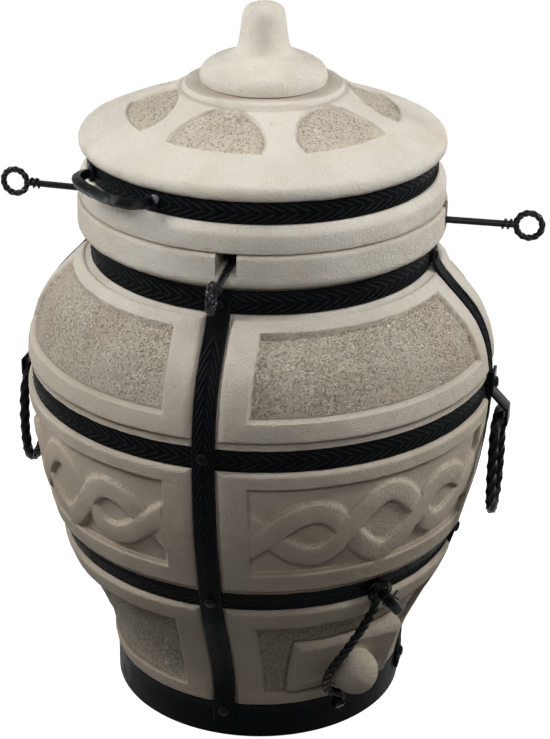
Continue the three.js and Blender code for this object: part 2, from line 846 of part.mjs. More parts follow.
function lid() {
  let body = solidOf(revolve(lidProfile()));
  const [rimLow, rimHigh] = [domeOutline[0][1], domeOutline[5][1]];
  const above = solidOf(revolve([
    ...curveLine(domeCurve, rimLow, rimHigh, archDepth, 3).reverse(),
    new THREE.Vector2(domeOutline[0][0], rimHigh + 20),
    new THREE.Vector2(domeOutline[5][0], rimHigh + 20),
  ]));
  const beyond = 40;
  const depth = rimHigh - rimLow + 2 * beyond;
  for (let i = 0; i < archCount; i++) {
    const arch = new THREE.ExtrudeGeometry(archShape(), { depth, bevelEnabled: false });
    arch.translate(0, 0, rimLow - beyond).rotateZ(rad(archFirstAzimuth + (i * 360) / archCount));
    body = cut(body, solidOf(arch).intersect(above));
  }
  return geometryOf(body);
}

// A loop of bar that stands out level from the lid hoop at azimuth 0.
function lidHandle() {
  const side = rad(lidHandleHalfAngle);
  const [padWidth, padHeight, padThickness] = lidHandlePad;
  const face = lidHoopRadius + touchGap;
  const root = face + padThickness / 2;
  const onHoop = (angle, radius) =>
    new THREE.Vector3(radius * Math.sin(angle), -radius * Math.cos(angle), lidHandleHeight);
  const path = new THREE.CatmullRomCurve3([
    onHoop(-side, root), onHoop(-side * 0.97, root + 12), onHoop(-side * 0.68, lidHandleReach - 2),
    onHoop(0, lidHandleReach),
    onHoop(side * 0.68, lidHandleReach - 2), onHoop(side * 0.97, root + 12), onHoop(side, root),
  ], false, 'centripetal');
  const pads = [-side, side].map((angle) => solidOf(
    new THREE.BoxGeometry(padWidth, padThickness, padHeight)
      .translate(0, -root - 0.5, lidHandleHeight)
      .rotateZ(angle),
  ));
  const bar = barAlong(path, 16, twistedSection(lidHandleBar, 1 / 8));
  return geometryOf(joined(solidOf(bar), ...pads));
}

// ---------------------------------------------------------------- damper cap

function damperCap() {
  const seat = collarHeight + touchGap;
  const [tipRadius, tipHeight] = capOutline[capOutline.length - 1];
  const upper = capOutline.map(([radius, height]) => [radius, seat + height]);
  for (let i = 1; i <= 4; i++) {
    const angle = (i / 4) * Math.PI / 2;
    upper.push([
      i === 4 ? 0 : tipRadius * Math.cos(angle),
      seat + tipHeight + (capHeight - tipHeight) * Math.sin(angle),
    ]);
  }
  return revolve(vector2s([
    [0, seat - capStubDepth], [capStubRadius - 3, seat - capStubDepth],
    [capStubRadius, seat - capStubDepth + 3], [capStubRadius, seat],
    [capRadius - 3, seat], ...upper,
  ]), 24);
}

// ---------------------------------------------------------------- assembly

const tandoor = new THREE.Group();

for (const [name, solid] of Object.entries(clayPieces())) {
  tandoor.add(piece(name, geometryOf(solid), clay));
}

tandoor.add(
  piece('base_ring', straightHoop(baseRingRadius, 0, baseRingHeight), steel),
  piece('lower_band', wallHoop(lowerHoopBottom), steel),
  piece('belly_band', wallHoop(bellyHoopBottom), steel),
  piece('neck_band', straightHoop(neckRadius + touchGap + steelThickness, neckHoopBottom, hoopHeight), steel),
);

for (let i = 0; i < quarters; i++) {
  const holdsBracket = i % 2 === 0;
  tandoor.add(atAzimuth(atQuarter(i), piece(`strap_${i + 1}`, strap(), steel),
    ...strapRivets(i + 1, holdsBracket)));
}

for (const [side, index] of [['right', 0], ['left', 2]]) {
  tandoor.add(atAzimuth(atQuarter(index),
    piece(`ring_bracket_${side}`, bracket(), steel),
    piece(`carry_ring_${side}`, carryRing(), steel)));
}

notchAzimuths.forEach((azimuth, i) => {
  tandoor.add(atAzimuth(azimuth, piece(`skewer_${i + 1}`, skewer(skewerReach[i]), steel)));
});

tandoor.add(
  piece('grate', grate(), iron),
  piece('vent_plug', ventPlug(), clay),
  onLatchPin(
    piece('latch_pin', latchPin(), steel),
    piece('latch_bar', latchBar(), steel),
    piece('latch_clip', latchClip(), steel),
  ),
  piece('lid', lid(), clay),
  piece('lid_band', straightHoop(lidHoopRadius, lidHoopBottom, lidHoopHeight), steel),
  atAzimuth(lidHandleAzimuth, piece('lid_handle_right', lidHandle(), steel)),
  atAzimuth(lidHandleAzimuth - 180, piece('lid_handle_left', lidHandle(), steel)),
  piece('damper_cap', damperCap(), clay),
);

export default tandoor;
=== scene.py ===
# Clay tandoor oven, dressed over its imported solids. Lengths are in millimetres up to the
# mesh maker, which writes metres. Azimuth 0 faces -Y and turns towards +X.

import math

import bpy
import numpy as np
from mathutils import Matrix, Vector


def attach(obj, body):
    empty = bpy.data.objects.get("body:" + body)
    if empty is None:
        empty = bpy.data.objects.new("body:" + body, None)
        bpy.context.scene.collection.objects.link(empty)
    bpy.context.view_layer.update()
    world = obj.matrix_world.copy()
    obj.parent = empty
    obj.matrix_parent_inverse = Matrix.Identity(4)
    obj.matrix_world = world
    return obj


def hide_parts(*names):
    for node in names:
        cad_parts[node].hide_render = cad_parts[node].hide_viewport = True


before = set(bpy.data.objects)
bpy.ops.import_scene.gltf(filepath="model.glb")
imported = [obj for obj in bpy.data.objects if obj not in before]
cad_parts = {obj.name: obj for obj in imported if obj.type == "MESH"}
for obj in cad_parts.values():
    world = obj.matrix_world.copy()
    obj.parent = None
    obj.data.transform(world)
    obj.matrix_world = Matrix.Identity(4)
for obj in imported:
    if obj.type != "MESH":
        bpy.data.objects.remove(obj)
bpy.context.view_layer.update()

MM = 0.001

# ---- sizes shared with the solids

WALL = [(181, 45), (191, 90), (214, 144), (240, 198), (258, 261), (273, 324),
        (281, 395), (281.5, 436), (276, 477), (261, 513), (238, 541), (211, 569)]
CHAMBER = [(146, 184), (196, 270), (236, 415), (202, 530), (150, 602)]
DOME = [(206, 720), (185, 729), (160, 738), (138, 747), (119, 756), (101, 767)]

STEEL = 4.0
TOUCH = 0.4
BASE_RING_RADIUS = 180.0
BASE_RING_HEIGHT = 45.0
HOOP_HEIGHT = 27.0
HOOP_INSET = 6.0
HOOP_FLOOR = HOOP_INSET + STEEL + TOUCH
LEDGE_INSET = 4.0
LOWER_HOOP = 213.5
LOWER_LEDGE = 6.0
BELLY_HOOP = 412.0
BELLY_LEDGE = 9.0
TILE_TOP = 568.0
NECK_RADIUS = 198.0
NECK_HOOP = 568.8
RIM_BOTTOM = 602.0
RIM_TOP = 642.0
RIM_RADIUS = 216.5
MOUTH_RADIUS = 150.0
FLOOR = 50.0
ASH_PIT_RADIUS = 124.0
GRATE_LEDGE = 170.0
PANEL_BORDER = 48.0
PANEL_DEPTH = 6.0
LOWER_PANEL = (64.0, 186.0)
MIDDLE_PANEL = (272.0, 393.0)
UPPER_PANEL = (473.0, 556.0)
STRAP_AZIMUTHS = (45.0, 135.0, 225.0, 315.0)
STRAP_WIDTH = 26.0
STRAP_INSET = 1.2
BELLY_RIVET = BELLY_HOOP + 15.5
NOTCH_AZIMUTHS = (-42.5, 47.5, 137.0, -137.0)
NOTCH_WIDTH = 23.5
NOTCH_DEPTH = 24.0
UP = np.array([0.0, 0.0, 1.0])

# ---- numbers


def catmull(points, count):
    """A smooth line through points, the same as the solids' own."""
    p = np.array(points, float)
    t = np.linspace(0, len(p) - 1, count)
    i = np.minimum(t.astype(int), len(p) - 2)
    w = (t - i)[:, None]
    p = np.concatenate([p[:1], p, p[-1:]])
    p0, p1, p2, p3 = (p[i + k] for k in range(4))
    v0, v1 = (p2 - p0) / 2, (p3 - p1) / 2
    return ((2 * p1 - 2 * p2 + v0 + v1) * w ** 3 + (-3 * p1 + 3 * p2 - 2 * v0 - v1) * w ** 2
            + v0 * w + p1)


def smooth(x, low, high):
    """0 below low, 1 above high and a soft step between."""
    u = np.clip((x - low) / (high - low), 0, 1)
    return u * u * (3 - 2 * u)


def hashed(i, j, k, seed):
    """A fixed pseudo-random number from 0 to 1 for each lattice point."""
    h = (i * 374761393 + j * 668265263 + k * 2147483647 + seed * 974711) & 0xFFFFFFFF
    h = ((h ^ (h >> 13)) * 1274126177) & 0xFFFFFFFF
    h = ((h ^ (h >> 16)) * 2246822519) & 0xFFFFFFFF
    return ((h ^ (h >> 15)) & 0xFFFF) / 65535.0


def noise(points, size, seed):
    """Smooth noise from -1 to 1 whose lumps are about size millimetres across."""
    q = points / size
    base = np.floor(q).astype(np.int64)
    f = q - base
    f = f * f * (3 - 2 * f)
    total = np.zeros(len(points))
    for corner in range(8):
        d = np.array([corner & 1, (corner >> 1) & 1, corner >> 2])
        weight = np.prod(np.where(d, f, 1 - f), axis=1)
        c = base + d
        total += weight * hashed(c[:, 0], c[:, 1], c[:, 2], seed)
    return total * 2 - 1


def near(x, place, width):
    """1 at a place, falling off on both sides of it over about a width."""
    return np.exp(-((x - place) / width) ** 2)


def unit(vectors):
    """Vectors brought to length 1."""
    return vectors / np.linalg.norm(vectors, axis=-1)[..., None]


def lengths(line):
    """Length along a line up to each of its points."""
    return np.concatenate([[0], np.cumsum(np.linalg.norm(np.diff(line, axis=0), axis=1))])


def evenly(line, count):
    """Points along a line, spaced evenly by its length."""
    length = lengths(line)
    at = np.linspace(0, length[-1], count)
    return np.stack([np.interp(at, length, column) for column in line.T], 1)


def smooth_line(line):
    inner = line[1:-1] * 0.5 + (line[:-2] + line[2:]) * 0.25
    return np.concatenate([line[:1], inner, line[-1:]])


wall_line = catmull(WALL, 1200)
wall_slope = unit(np.gradient(wall_line, axis=0))


def wall_at(z, inset=0.0):
    """Radius and height of the tiles' face at a height, moved back square to the wall."""
    heights = wall_line[:, 1]
    r, tr, tz = (np.interp(z, heights, v) for v in (wall_line[:, 0], *wall_slope.T))
    return r - inset * tz, z + inset * tr


def wall_lean(z):
    """How far the wall leans out from upright at a height, in radians."""
    return math.atan2(float(wall_at(z + 2)[0] - wall_at(z - 2)[0]), 4)


def out(azimuth):
    """Direction away from the axis at an azimuth."""
    a = math.radians(azimuth)
    return np.array([math.sin(a), -math.cos(a), 0.0])


def place_points(points, azimuth):
    """Points in the frame of an azimuth: X to the side, Y out and Z up."""
    p = np.asarray(points, float)
    return p[:, :1] * out(azimuth + 90) + p[:, 1:2] * out(azimuth) + p[:, 2:] * UP


def on_circle(r, radians, z):
    """Points at a radius, at each of some azimuths in radians, and at a height."""
    return np.stack([r * np.sin(radians), -r * np.cos(radians), z + 0 * radians], 1)


def turn_z(degrees):
    return Matrix.Rotation(math.radians(degrees), 4, "Z")


def on_face(azimuth, radius, z, lean=0.0):
    """Frame on a face at an azimuth that leans out from upright: Z out of the face, in metres."""
    return (turn_z(azimuth) @ Matrix.Translation((0, -radius * MM, z * MM))
            @ Matrix.Rotation(math.pi / 2 + lean, 4, "X"))


def carried(points, matrix):
    """Points in millimetres, carried by a matrix in metres."""
    m = np.array(matrix)
    return points @ m[:3, :3].T + m[:3, 3] / MM


def polar(points):
    """Radius, azimuth and height of points."""
    x, y, z = points.T
    return np.hypot(x, y), np.degrees(np.arctan2(x, -y)), z


# ---- meshes


def put_in(name, data):
    """An object of this name and data, put into the scene."""
    obj = bpy.data.objects.new(name, data)
    bpy.context.scene.collection.objects.link(obj)
    return obj


def mesh_object(name, vertices, faces):
    mesh = bpy.data.meshes.new(name)
    mesh.from_pydata((np.asarray(vertices) * MM).tolist(), [], faces)
    mesh.validate()
    mesh.update()
    return put_in(name, mesh)


def quads(rows, columns, wrap_rows=False, wrap_columns=True):
    """Faces of a grid whose vertices run along the columns first."""
    i = np.arange(rows if wrap_rows else rows - 1)
    j = np.arange(columns if wrap_columns else columns - 1)
    i, j = np.meshgrid(i, j, indexing="ij")
    i2 = (i + 1) % rows
    j2 = (j + 1) % columns
    f = np.stack([i * columns + j, i * columns + j2, i2 * columns + j2, i2 * columns + j], -1)
    return f.reshape(-1, 4).tolist()


def close_ends(vertices, faces, low, high, count):
    """Closes the first and last ring of vertices with a point each."""
    n = len(vertices)
    for j in range(count):
        k = (j + 1) % count
        faces += [(n, k, j), (n + 1, n - count + j, n - count + k)]
    return np.concatenate([vertices, [low, high]])


def turned(name, rows, azimuths):
    """A closed body turned about Z. rows holds pairs of radius and height, plain numbers or one per
    azimuth, from the middle of the underside out and up to the middle of the top, or back to
    the start."""
    a = np.radians(azimuths)
    hollow = np.max(rows[0][0]) > 1e-6
    rings = rows if hollow else rows[1:-1]
    vertices = np.concatenate([on_circle(r, a, z) for r, z in rings])
    faces = quads(len(rings), len(a), wrap_rows=hollow)
    if not hollow:
        vertices = close_ends(vertices, faces, rows[0][1] * UP, rows[-1][1] * UP, len(a))
    return mesh_object(name, vertices, faces)


def around(count):
    return 90 + np.arange(count) * 360 / count


def read_vertices(obj, kind):
    values = np.empty(len(obj.data.vertices) * 3, np.float32)
    obj.data.vertices.foreach_get(kind, values)
    return values.reshape(-1, 3).astype(float)


def coordinates(obj):
    return read_vertices(obj, "co") / MM


def set_coordinates(obj, points):
    obj.data.vertices.foreach_set("co", (points * MM).astype(np.float32).ravel())
    obj.data.update()


def push(obj, move):
    """Moves each vertex along its normal."""
    set_coordinates(obj, coordinates(obj) + read_vertices(obj, "normal") * move[:, None])


def roughen(obj, *layers):
    """Moves each vertex along its normal by layers of noise: (size, depth, seed)."""
    points = coordinates(obj)
    push(obj, sum(depth * noise(points, size, seed) for size, depth, seed in layers))


def paint(obj, **layers):
    """Numbers per vertex, or one for all, that the material reads."""
    count = len(obj.data.vertices)
    for name, values in layers.items():
        layer = obj.data.attributes.new(name, "FLOAT", "POINT")
        layer.data.foreach_set("value", np.broadcast_to(values, count).astype(np.float32))


def finish_piece(obj, material, body, *replaced, sharp=50.0):
    """Gives a piece its material and body, and hides the solids whose place it takes."""
    obj.data.materials.clear()
    obj.data.materials.append(material)
    obj.data.polygons.foreach_set("use_smooth", [True] * len(obj.data.polygons))
    if sharp:
        obj.data.set_sharp_from_angle(angle=math.radians(sharp))
    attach(obj, body)
    if replaced:
        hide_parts(*replaced)


def cut_away(obj, cutters):
    """Cuts closed blocks out of a piece."""
    for cutter in cutters:
        modifier = obj.modifiers.new("cut", "BOOLEAN")
        modifier.operation = "DIFFERENCE"
        modifier.solver = "MANIFOLD"
        modifier.object = cutter
    settle(obj)
    for cutter in cutters:
        bpy.data.objects.remove(cutter)


def settle(obj):
    """Turns what the modifiers make into the object's own mesh."""
    bpy.context.view_layer.update()
    graph = bpy.context.evaluated_depsgraph_get()
    made = bpy.data.meshes.new_from_object(obj.evaluated_get(graph))
    obj.modifiers.clear()
    obj.data = made


def block(name, azimuth, width, inner, outer, bottom, top):
    """A closed block that stands along an azimuth."""
    corners = [(x, y, z) for y in (inner, outer) for x in (-width / 2, width / 2)
               for z in (bottom, top)]
    faces = [(0, 1, 3, 2), (4, 6, 7, 5), (0, 4, 5, 1), (2, 3, 7, 6), (0, 2, 6, 4), (1, 5, 7, 3)]
    return mesh_object(name, place_points(corners, azimuth), faces)


# ---- materials

CREAM = ((0.63, 0.585, 0.505), (0.70, 0.66, 0.59))
CREAM_STAIN = (0.62, 0.525, 0.40)
CREAM_GRAIN = (0.40, 0.33, 0.25)
# Multiplies the cream towards the foot: painted shade and painted warm reflected light.
FOOT_PAINTED_SHADE = (0.97, 0.905, 0.835)
BEIGE = ((0.95, 0.83, 0.66), (0.99, 0.91, 0.77))
BEIGE_STAIN = (0.88, 0.74, 0.56)
# Colour of the stipple's crevices and broken patches: painted shade.
CREVICE_SHADE = (0.25, 0.16, 0.09)
# Colour where the hollow attribute is high: painted shade in creases, recesses and joints, with
# some real dirt.
HOLLOW_SHADE_AND_DIRT = (0.24, 0.175, 0.115)
# Colour of the small pits: painted shade in them.
PIT_SHADE = (0.13, 0.10, 0.075)
SOOT = (0.05, 0.042, 0.035)
STEEL_DARK = np.array([0.0022, 0.0024, 0.0029])
STEEL_LIGHT = np.array([0.0052, 0.0058, 0.007])
# Light colour of rubbed paint, also a painted highlight on crests, corners and glints.
STEEL_SCUFF_AND_HIGHLIGHT = (0.13, 0.14, 0.15)
IRON = ((0.03, 0.028, 0.027), (0.07, 0.055, 0.045))


def node(tree, kind, inputs=(), **settings):
    """Adds a shader node and returns its outputs. inputs gives sockets an output to link, or a
    number or colour of their own."""
    made = tree.nodes.new("ShaderNode" + kind)
    for name, value in settings.items():
        setattr(made, name, value)
    for socket, value in dict(inputs).items():
        target = made.inputs[socket]
        if hasattr(value, "links"):
            tree.links.new(value, target)
        else:
            target.default_value = (*value, 1.0) if target.type == "RGBA" else value
    return made.outputs


class Surface:
    """A material in the making. Each method adds nodes and returns what they give out."""

    def __init__(self, name):
        self.material = bpy.data.materials.new(name)
        self.material.use_nodes = True
        self.tree = self.material.node_tree
        self.tree.nodes.clear()
        self.position = node(self.tree, "TexCoord")["Object"]

    def attribute(self, name):
        return node(self.tree, "Attribute", attribute_name=name)["Fac"]

    def noise(self, scale, detail=4.0, roughness=0.55, distortion=0.0, vector=None):
        return node(self.tree, "TexNoise", {
            "Vector": vector or self.position, "Scale": scale, "Detail": detail,
            "Roughness": roughness, "Distortion": distortion})["Fac"]

    def ramp(self, value, low, high, start=0.0, end=1.0):
        """A soft step from start to end as a value goes from low to high."""
        return node(self.tree, "MapRange", {
            "Value": value, "From Min": low, "From Max": high, "To Min": start, "To Max": end},
            interpolation_type="SMOOTHSTEP")["Result"]

    def math(self, operation, a, b=0.0):
        return node(self.tree, "Math", {0: a, 1: b}, operation=operation)[0]

    def times(self, a, b):
        return self.math("MULTIPLY", a, b)

    def rest(self, a):
        return self.math("SUBTRACT", 1.0, a)

    def mix(self, factor, a, b, blend="MIX"):
        return node(self.tree, "Mix", {0: factor, 6: a, 7: b}, data_type="RGBA",
                    blend_type=blend)[2]

    def bump(self, height, distance, strength, *below):
        """A bump of a distance in millimetres, over the bump below it."""
        return node(self.tree, "Bump", {"Height": height, "Distance": distance * MM,
                                        "Strength": strength, **{"Normal": b for b in below}})[0]

    def finish(self, inputs, *added):
        """Feeds the shader, adds the light that the surface gives off, and closes the material."""
        shader = node(self.tree, "BsdfPrincipled", inputs)[0]
        for light in added:
            shader = node(self.tree, "AddShader", {0: shader, 1: light})[0]
        node(self.tree, "OutputMaterial", {"Surface": shader})
        return self.material


def clay_material():
    n = Surface("fired_clay")
    rough = n.attribute("rough")
    cloud = n.noise(9.0, 5.0, 0.6)
    warm = n.noise(23.0, 4.0, 0.55, 0.4)
    grain = n.noise(620.0, 3.0, 0.6)
    speck = n.noise(1500.0, 2.0, 0.5)
    tall = node(n.tree, "Mapping", {"Vector": n.position, "Scale": (1.0, 1.0, 1.25)})[0]
    worms = n.noise(400.0, 2.0, 0.55, 0.6, tall)
    ridge = n.math("ABSOLUTE", n.math("SUBTRACT", worms, 0.5))
    crumbs = n.noise(760.0, 2.0, 0.6, 0.6)
    dense = n.ramp(n.noise(17.0, 3.0, 0.6), 0.35, 0.65, 0.04, -0.04)
    broken = n.ramp(n.math("ADD", n.noise(310.0, 2.0), dense), 0.42, 0.52)
    crack = n.math("MAXIMUM", n.ramp(ridge, 0.01, 0.06), broken)
    stipple = n.math("ADD", n.times(n.ramp(ridge, 0.0, 0.13), 0.75), n.times(crumbs, 0.35))
    sparse = n.ramp(n.noise(70.0, 2.0), 0.52, 0.62)
    cells = node(n.tree, "TexVoronoi", {"Vector": n.position, "Scale": 150.0})["Distance"]
    pits = n.times(n.rest(n.ramp(cells, 0.045, 0.16)), sparse)

    cream = n.mix(n.ramp(cloud, 0.35, 0.7), *CREAM)
    cream = n.mix(n.ramp(warm, 0.52, 0.74, 0.0, 0.4), cream, CREAM_STAIN)
    cream = n.mix(n.ramp(grain, 0.35, 0.6, 0.2, 0.0), cream, CREAM_GRAIN)
    height = node(n.tree, "SeparateXYZ", {0: n.position})["Z"]
    # Darker and warmer towards the foot: painted shade and painted warm reflected light.
    cream = n.mix(n.ramp(height, 0.62, 0.3), cream, FOOT_PAINTED_SHADE, "MULTIPLY")
    beige = n.mix(n.ramp(speck, 0.3, 0.7), *BEIGE)
    beige = n.mix(n.ramp(cloud, 0.4, 0.66, 0.0, 0.4), beige, BEIGE_STAIN)
    # The stipple's crevices and broken patches darkened: painted shade.
    beige = n.mix(n.rest(crack), beige, CREVICE_SHADE)
    color = n.mix(rough, cream, beige)
    # Creases, recesses and joints darkened by the hollow attribute: painted shade, with some real
    # dirt.
    color = n.mix(n.times(n.attribute("hollow"), 0.75), color, HOLLOW_SHADE_AND_DIRT)
    # Small pits darkened: painted shade in them.
    color = n.mix(n.times(pits, 0.8), color, PIT_SHADE)
    color = n.mix(n.times(n.attribute("soot"), n.ramp(cloud, 0.2, 0.6, 0.6, 1.0)), color, SOOT)

    lumps = n.bump(n.noise(150.0, 5.0, 0.65), 1.3, 0.7)
    sandy = n.ramp(n.noise(16.0, 4.0, 0.6), 0.4, 0.62, 0.5, 1.0)
    sand = n.bump(n.times(n.noise(480.0, 3.0, 0.6), sandy), 2.2, 0.9, lumps)
    fine = n.bump(grain, 0.8, 0.8, sand)
    pitted = n.bump(n.rest(pits), 1.0, 0.6, fine)
    return n.finish({"Base Color": color, "Roughness": n.ramp(grain, 0.2, 0.8, 0.82, 0.97),
                     "Specular IOR Level": 0.2,
                     "Normal": n.bump(n.times(stipple, rough), 3.0, 1.0, pitted)})


def steel_material(name, shade, gloss, wear_and_highlight, shine):
    """Black paint on steel, rubbed to bare metal where the edge attribute is high; there its light
    colour also stands as a painted highlight on crests, corners and ends.
    """
    n = Surface(name)
    patch = n.noise(60.0, 4.0, 0.6)
    dust = n.noise(240.0, 5.0, 0.7)
    base = n.mix(n.ramp(patch, 0.35, 0.7), tuple(STEEL_DARK * shade), tuple(STEEL_LIGHT * shade))
    scuff_and_highlight = n.times(n.attribute("edge"), n.ramp(dust, 0.35, 0.65, 0.3, 1.0))
    dents = n.bump(n.noise(170.0, 3.0, 0.5), 0.7, 0.35)
    return n.finish({"Base Color": n.mix(n.times(scuff_and_highlight, wear_and_highlight), base, STEEL_SCUFF_AND_HIGHLIGHT),
                     "Roughness": n.ramp(patch, 0.3, 0.75, 0.36 - gloss, 0.58 - gloss),
                     "Specular IOR Level": shine,
                     "Normal": n.bump(n.noise(900.0, 2.0, 0.6), 0.12, 0.5, dents)})


def iron_material():
    n = Surface("cast_iron")
    grain = n.noise(700.0, 3.0, 0.6)
    return n.finish({"Base Color": n.mix(n.ramp(n.noise(40.0, 4.0, 0.6), 0.3, 0.7), *IRON),
                     "Roughness": n.ramp(grain, 0.3, 0.7, 0.6, 0.85), "Metallic": 0.4,
                     "Normal": n.bump(grain, 0.5, 0.7)})


clay = clay_material()
cast_iron = iron_material()
black_steel = steel_material("black_steel", 0.85, 0.0, 0.16, 0.022)
bar_steel = steel_material("black_bar", 0.7, 0.14, 0.12, 0.045)
weld_steel = steel_material("weld_grey", 18.0, 0.1, 0.9, 0.4)
# More of the light scuff colour on the skewers: painted glints on their rings, and rubbed paint.
skewer_steel = steel_material("skewer_steel", 1.0, 0.22, 0.4, 0.12)
pin_steel = steel_material("worn_pin", 1.0, 0.16, 0.3, 0.1)

# ---- clay jar

CHANNEL_HALF = 14.5
CHANNEL_ROUND = 10.0
CHANNEL_DEPTH = 6.2
TILE_EDGE = 4.0
BRAID_MIDDLE = 328.0
BRAID_RADIUS = 275.0
BRAID_HALF = 15.6
BRAID_HEIGHT = 5.9
BRAID_DIP = 3.0
BRAID_EDGE = 4.2
BRAID_CROSSING = 24.0
BRAID_CROWN = 0.24
# Places along the braid, from the middle of a panel, with the turn of the strands' wave there.
BRAID_TURNS = [(0, 0.0), (51, 0.5), (93, 1.0), (145, 1.5), (190, 1.95)]
BRAID_SPREAD = [(0, 41.5), (51, 36.5), (93, 29.5), (145, 27.0), (190, 26.0)]
FOOT_RADIUS = BASE_RING_RADIUS - STEEL - TOUCH
BASE_JOINT = LOWER_HOOP + HOOP_HEIGHT / 2
RIM_JOINT = NECK_HOOP + HOOP_HEIGHT / 2
JOINT_GAP = TOUCH / 2
VENT_AZIMUTH = -1.5
VENT_HEIGHT = 109.0
VENT_FACE = float(wall_at(VENT_HEIGHT)[0])
VENT_TURN = -6.9
TUNNEL = (104.0, 56.0)
PLATE_HALF_WIDTH = 67.4
PLATE_FLARE = 0.045
PLATE_HALF_HEIGHT = 46.5


def strap_offset(azimuths):
    """Signed angle in degrees from the nearest strap."""
    return (np.asarray(azimuths) - STRAP_AZIMUTHS[0] + 45.0) % 90.0 - 45.0


def tile_depth(azimuth, z):
    """How far back the clay lies from the face of the tiles, and how rough it is there."""
    r, _ = wall_at(z)
    across = np.abs(r * np.sin(np.radians(strap_offset(azimuth))))
    u = np.clip((across - CHANNEL_HALF) / CHANNEL_ROUND, 0, 1)
    channel = CHANNEL_DEPTH * (1 - np.sqrt(1 - (1 - u) ** 2))
    recess = np.zeros_like(across)
    rough = np.zeros_like(across)
    border = across - PANEL_BORDER
    for low, high in (LOWER_PANEL, MIDDLE_PANEL, UPPER_PANEL):
        depth_in = np.minimum(border, np.minimum(z - low, high - z) * 1.04)
        recess = np.maximum(recess, PANEL_DEPTH * smooth(depth_in, -0.8, 3.6))
        if (low, high) != MIDDLE_PANEL:
            rough = np.maximum(rough, smooth(depth_in, 1.5, 4.5))
    return channel, recess, rough


def braid_height(azimuth, z):
    """Height of the two woven strands over the floor of a middle panel."""
    from_middle = (np.asarray(azimuth) + 45.0) % 90.0 - 45.0
    u = BRAID_RADIUS * np.radians(from_middle)
    places, turns = zip(*BRAID_TURNS)
    spread_places, spreads = zip(*BRAID_SPREAD)

    def centre(x):
        wave = np.cos(np.pi * np.interp(np.abs(x), places, turns))
        return wave * np.interp(np.abs(x), spread_places, spreads)

    v = z - BRAID_MIDDLE
    y = centre(u)
    slope = (centre(u + 1.0) - centre(u - 1.0)) / 2.0
    stretch = np.sqrt(1 + slope ** 2)
    height = np.zeros_like(u)
    for sign in (1, -1):
        distance = np.abs(v - sign * y) / stretch
        under = near(2 * y, 0, BRAID_CROSSING) * (sign * slope < 0)
        top = BRAID_HEIGHT - BRAID_DIP * under
        profile = 1 - smooth(distance, BRAID_HALF - BRAID_EDGE, BRAID_HALF + 0.3)
        crown = 1 - BRAID_CROWN * (distance / BRAID_HALF) ** 2
        height = np.maximum(height, top * profile * crown)
    return height


def tier_rows(low, high, step, azimuths):
    """Rows of one tier of tiles, with its rounded edges, panels, braid and strap channels."""
    count = max(1, round((high - low - 2 * TILE_EDGE) / step))
    rounded = (0, 0.5, 1.4, 2.6)
    heights = np.concatenate([[low + z for z in rounded],
                              np.linspace(low + TILE_EDGE, high - TILE_EDGE, count + 1),
                              [high - z for z in reversed(rounded)]])
    rows = []
    for z in heights:
        left = TILE_EDGE - min(z - low, high - z, TILE_EDGE)
        rounding = TILE_EDGE - math.sqrt(max(TILE_EDGE ** 2 - left ** 2, 0))
        channel, recess, _ = tile_depth(azimuths, z)
        if MIDDLE_PANEL[0] < z < MIDDLE_PANEL[1]:
            recess = np.maximum(recess - braid_height(azimuths, z), 0.2 * (recess > 0.2))
        rows.append(wall_at(z, np.maximum(np.maximum(channel, recess), rounding)))
    return rows


def seat_rows(azimuths, levels):
    """Rows of a hoop's seat and the ledge over it, from pairs of height and inset."""
    return [wall_at(z, np.maximum(inset, tile_depth(azimuths, z)[0])) for z, inset in levels]


def ledge_levels(bottom, ledge):
    """Heights and insets of the ledge over a hoop's seat."""
    top = bottom + HOOP_HEIGHT + TOUCH
    return [(top, HOOP_FLOOR), (top, LEDGE_INSET + 0.8), (top + 0.8, LEDGE_INSET),
            (top + ledge - 0.4, LEDGE_INSET)]


def chamber_rows(top, bottom, count):
    """Rows down the inner wall between two heights."""
    line = catmull(CHAMBER, 200)
    return [(np.interp(z, line[:, 1], line[:, 0]), z) for z in np.linspace(top, bottom, count)]


def arc(radius, z, size, start, end, count):
    """Rows around a rounded edge, between two angles in degrees."""
    return [(radius + size * math.cos(a), z + size * math.sin(a))
            for a in np.radians(np.linspace(start, end, count))]


def clay_base():
    azimuths = np.arange(0, 360, 0.5)
    foot_top = BASE_RING_HEIGHT + TOUCH
    seat = LOWER_HOOP - TOUCH
    joint = BASE_JOINT - JOINT_GAP
    ledge = CHAMBER[0][0]
    rows = [(0, 0), (FOOT_RADIUS * 0.5, 0), (FOOT_RADIUS - 1.5, 0), (FOOT_RADIUS, 1.5),
            (FOOT_RADIUS, foot_top)]
    rows += tier_rows(foot_top, seat, 2.4, azimuths)
    rows += seat_rows(azimuths, [(seat, HOOP_FLOOR), (joint, HOOP_FLOOR)])
    rows += chamber_rows(joint, CHAMBER[0][1], 7)
    rows += [(ledge, GRATE_LEDGE + 1), (ledge - 1, GRATE_LEDGE),
             (ASH_PIT_RADIUS + 1, GRATE_LEDGE), (ASH_PIT_RADIUS, GRATE_LEDGE - 1)]
    rows += [(ASH_PIT_RADIUS, z) for z in (140, 110, 80, FLOOR + 4)]
    rows += [(ASH_PIT_RADIUS - 4, FLOOR), (60, FLOOR), (0, FLOOR)]
    base = turned("clay_base_jar", rows, azimuths)
    width, height = TUNNEL
    tunnel = block("tunnel", 0, width, ASH_PIT_RADIUS - 40, VENT_FACE + 40,
                   VENT_HEIGHT - height / 2, VENT_HEIGHT + height / 2)
    tunnel.data.transform(vent_matrix())
    cut_away(base, [tunnel])
    finish_jar(base, "clay_base")


def vent_matrix():
    """Takes a shape at azimuth 0 to the vent, in metres."""
    face = Matrix.Translation((0, VENT_FACE * MM, 0))
    return turn_z(VENT_AZIMUTH) @ face.inverted() @ turn_z(VENT_TURN) @ face


def plate_frame():
    """Takes the plug's plate to its place: X across it, Y up the wall and Z out, in metres."""
    return vent_matrix() @ on_face(0, VENT_FACE, VENT_HEIGHT, wall_lean(VENT_HEIGHT))


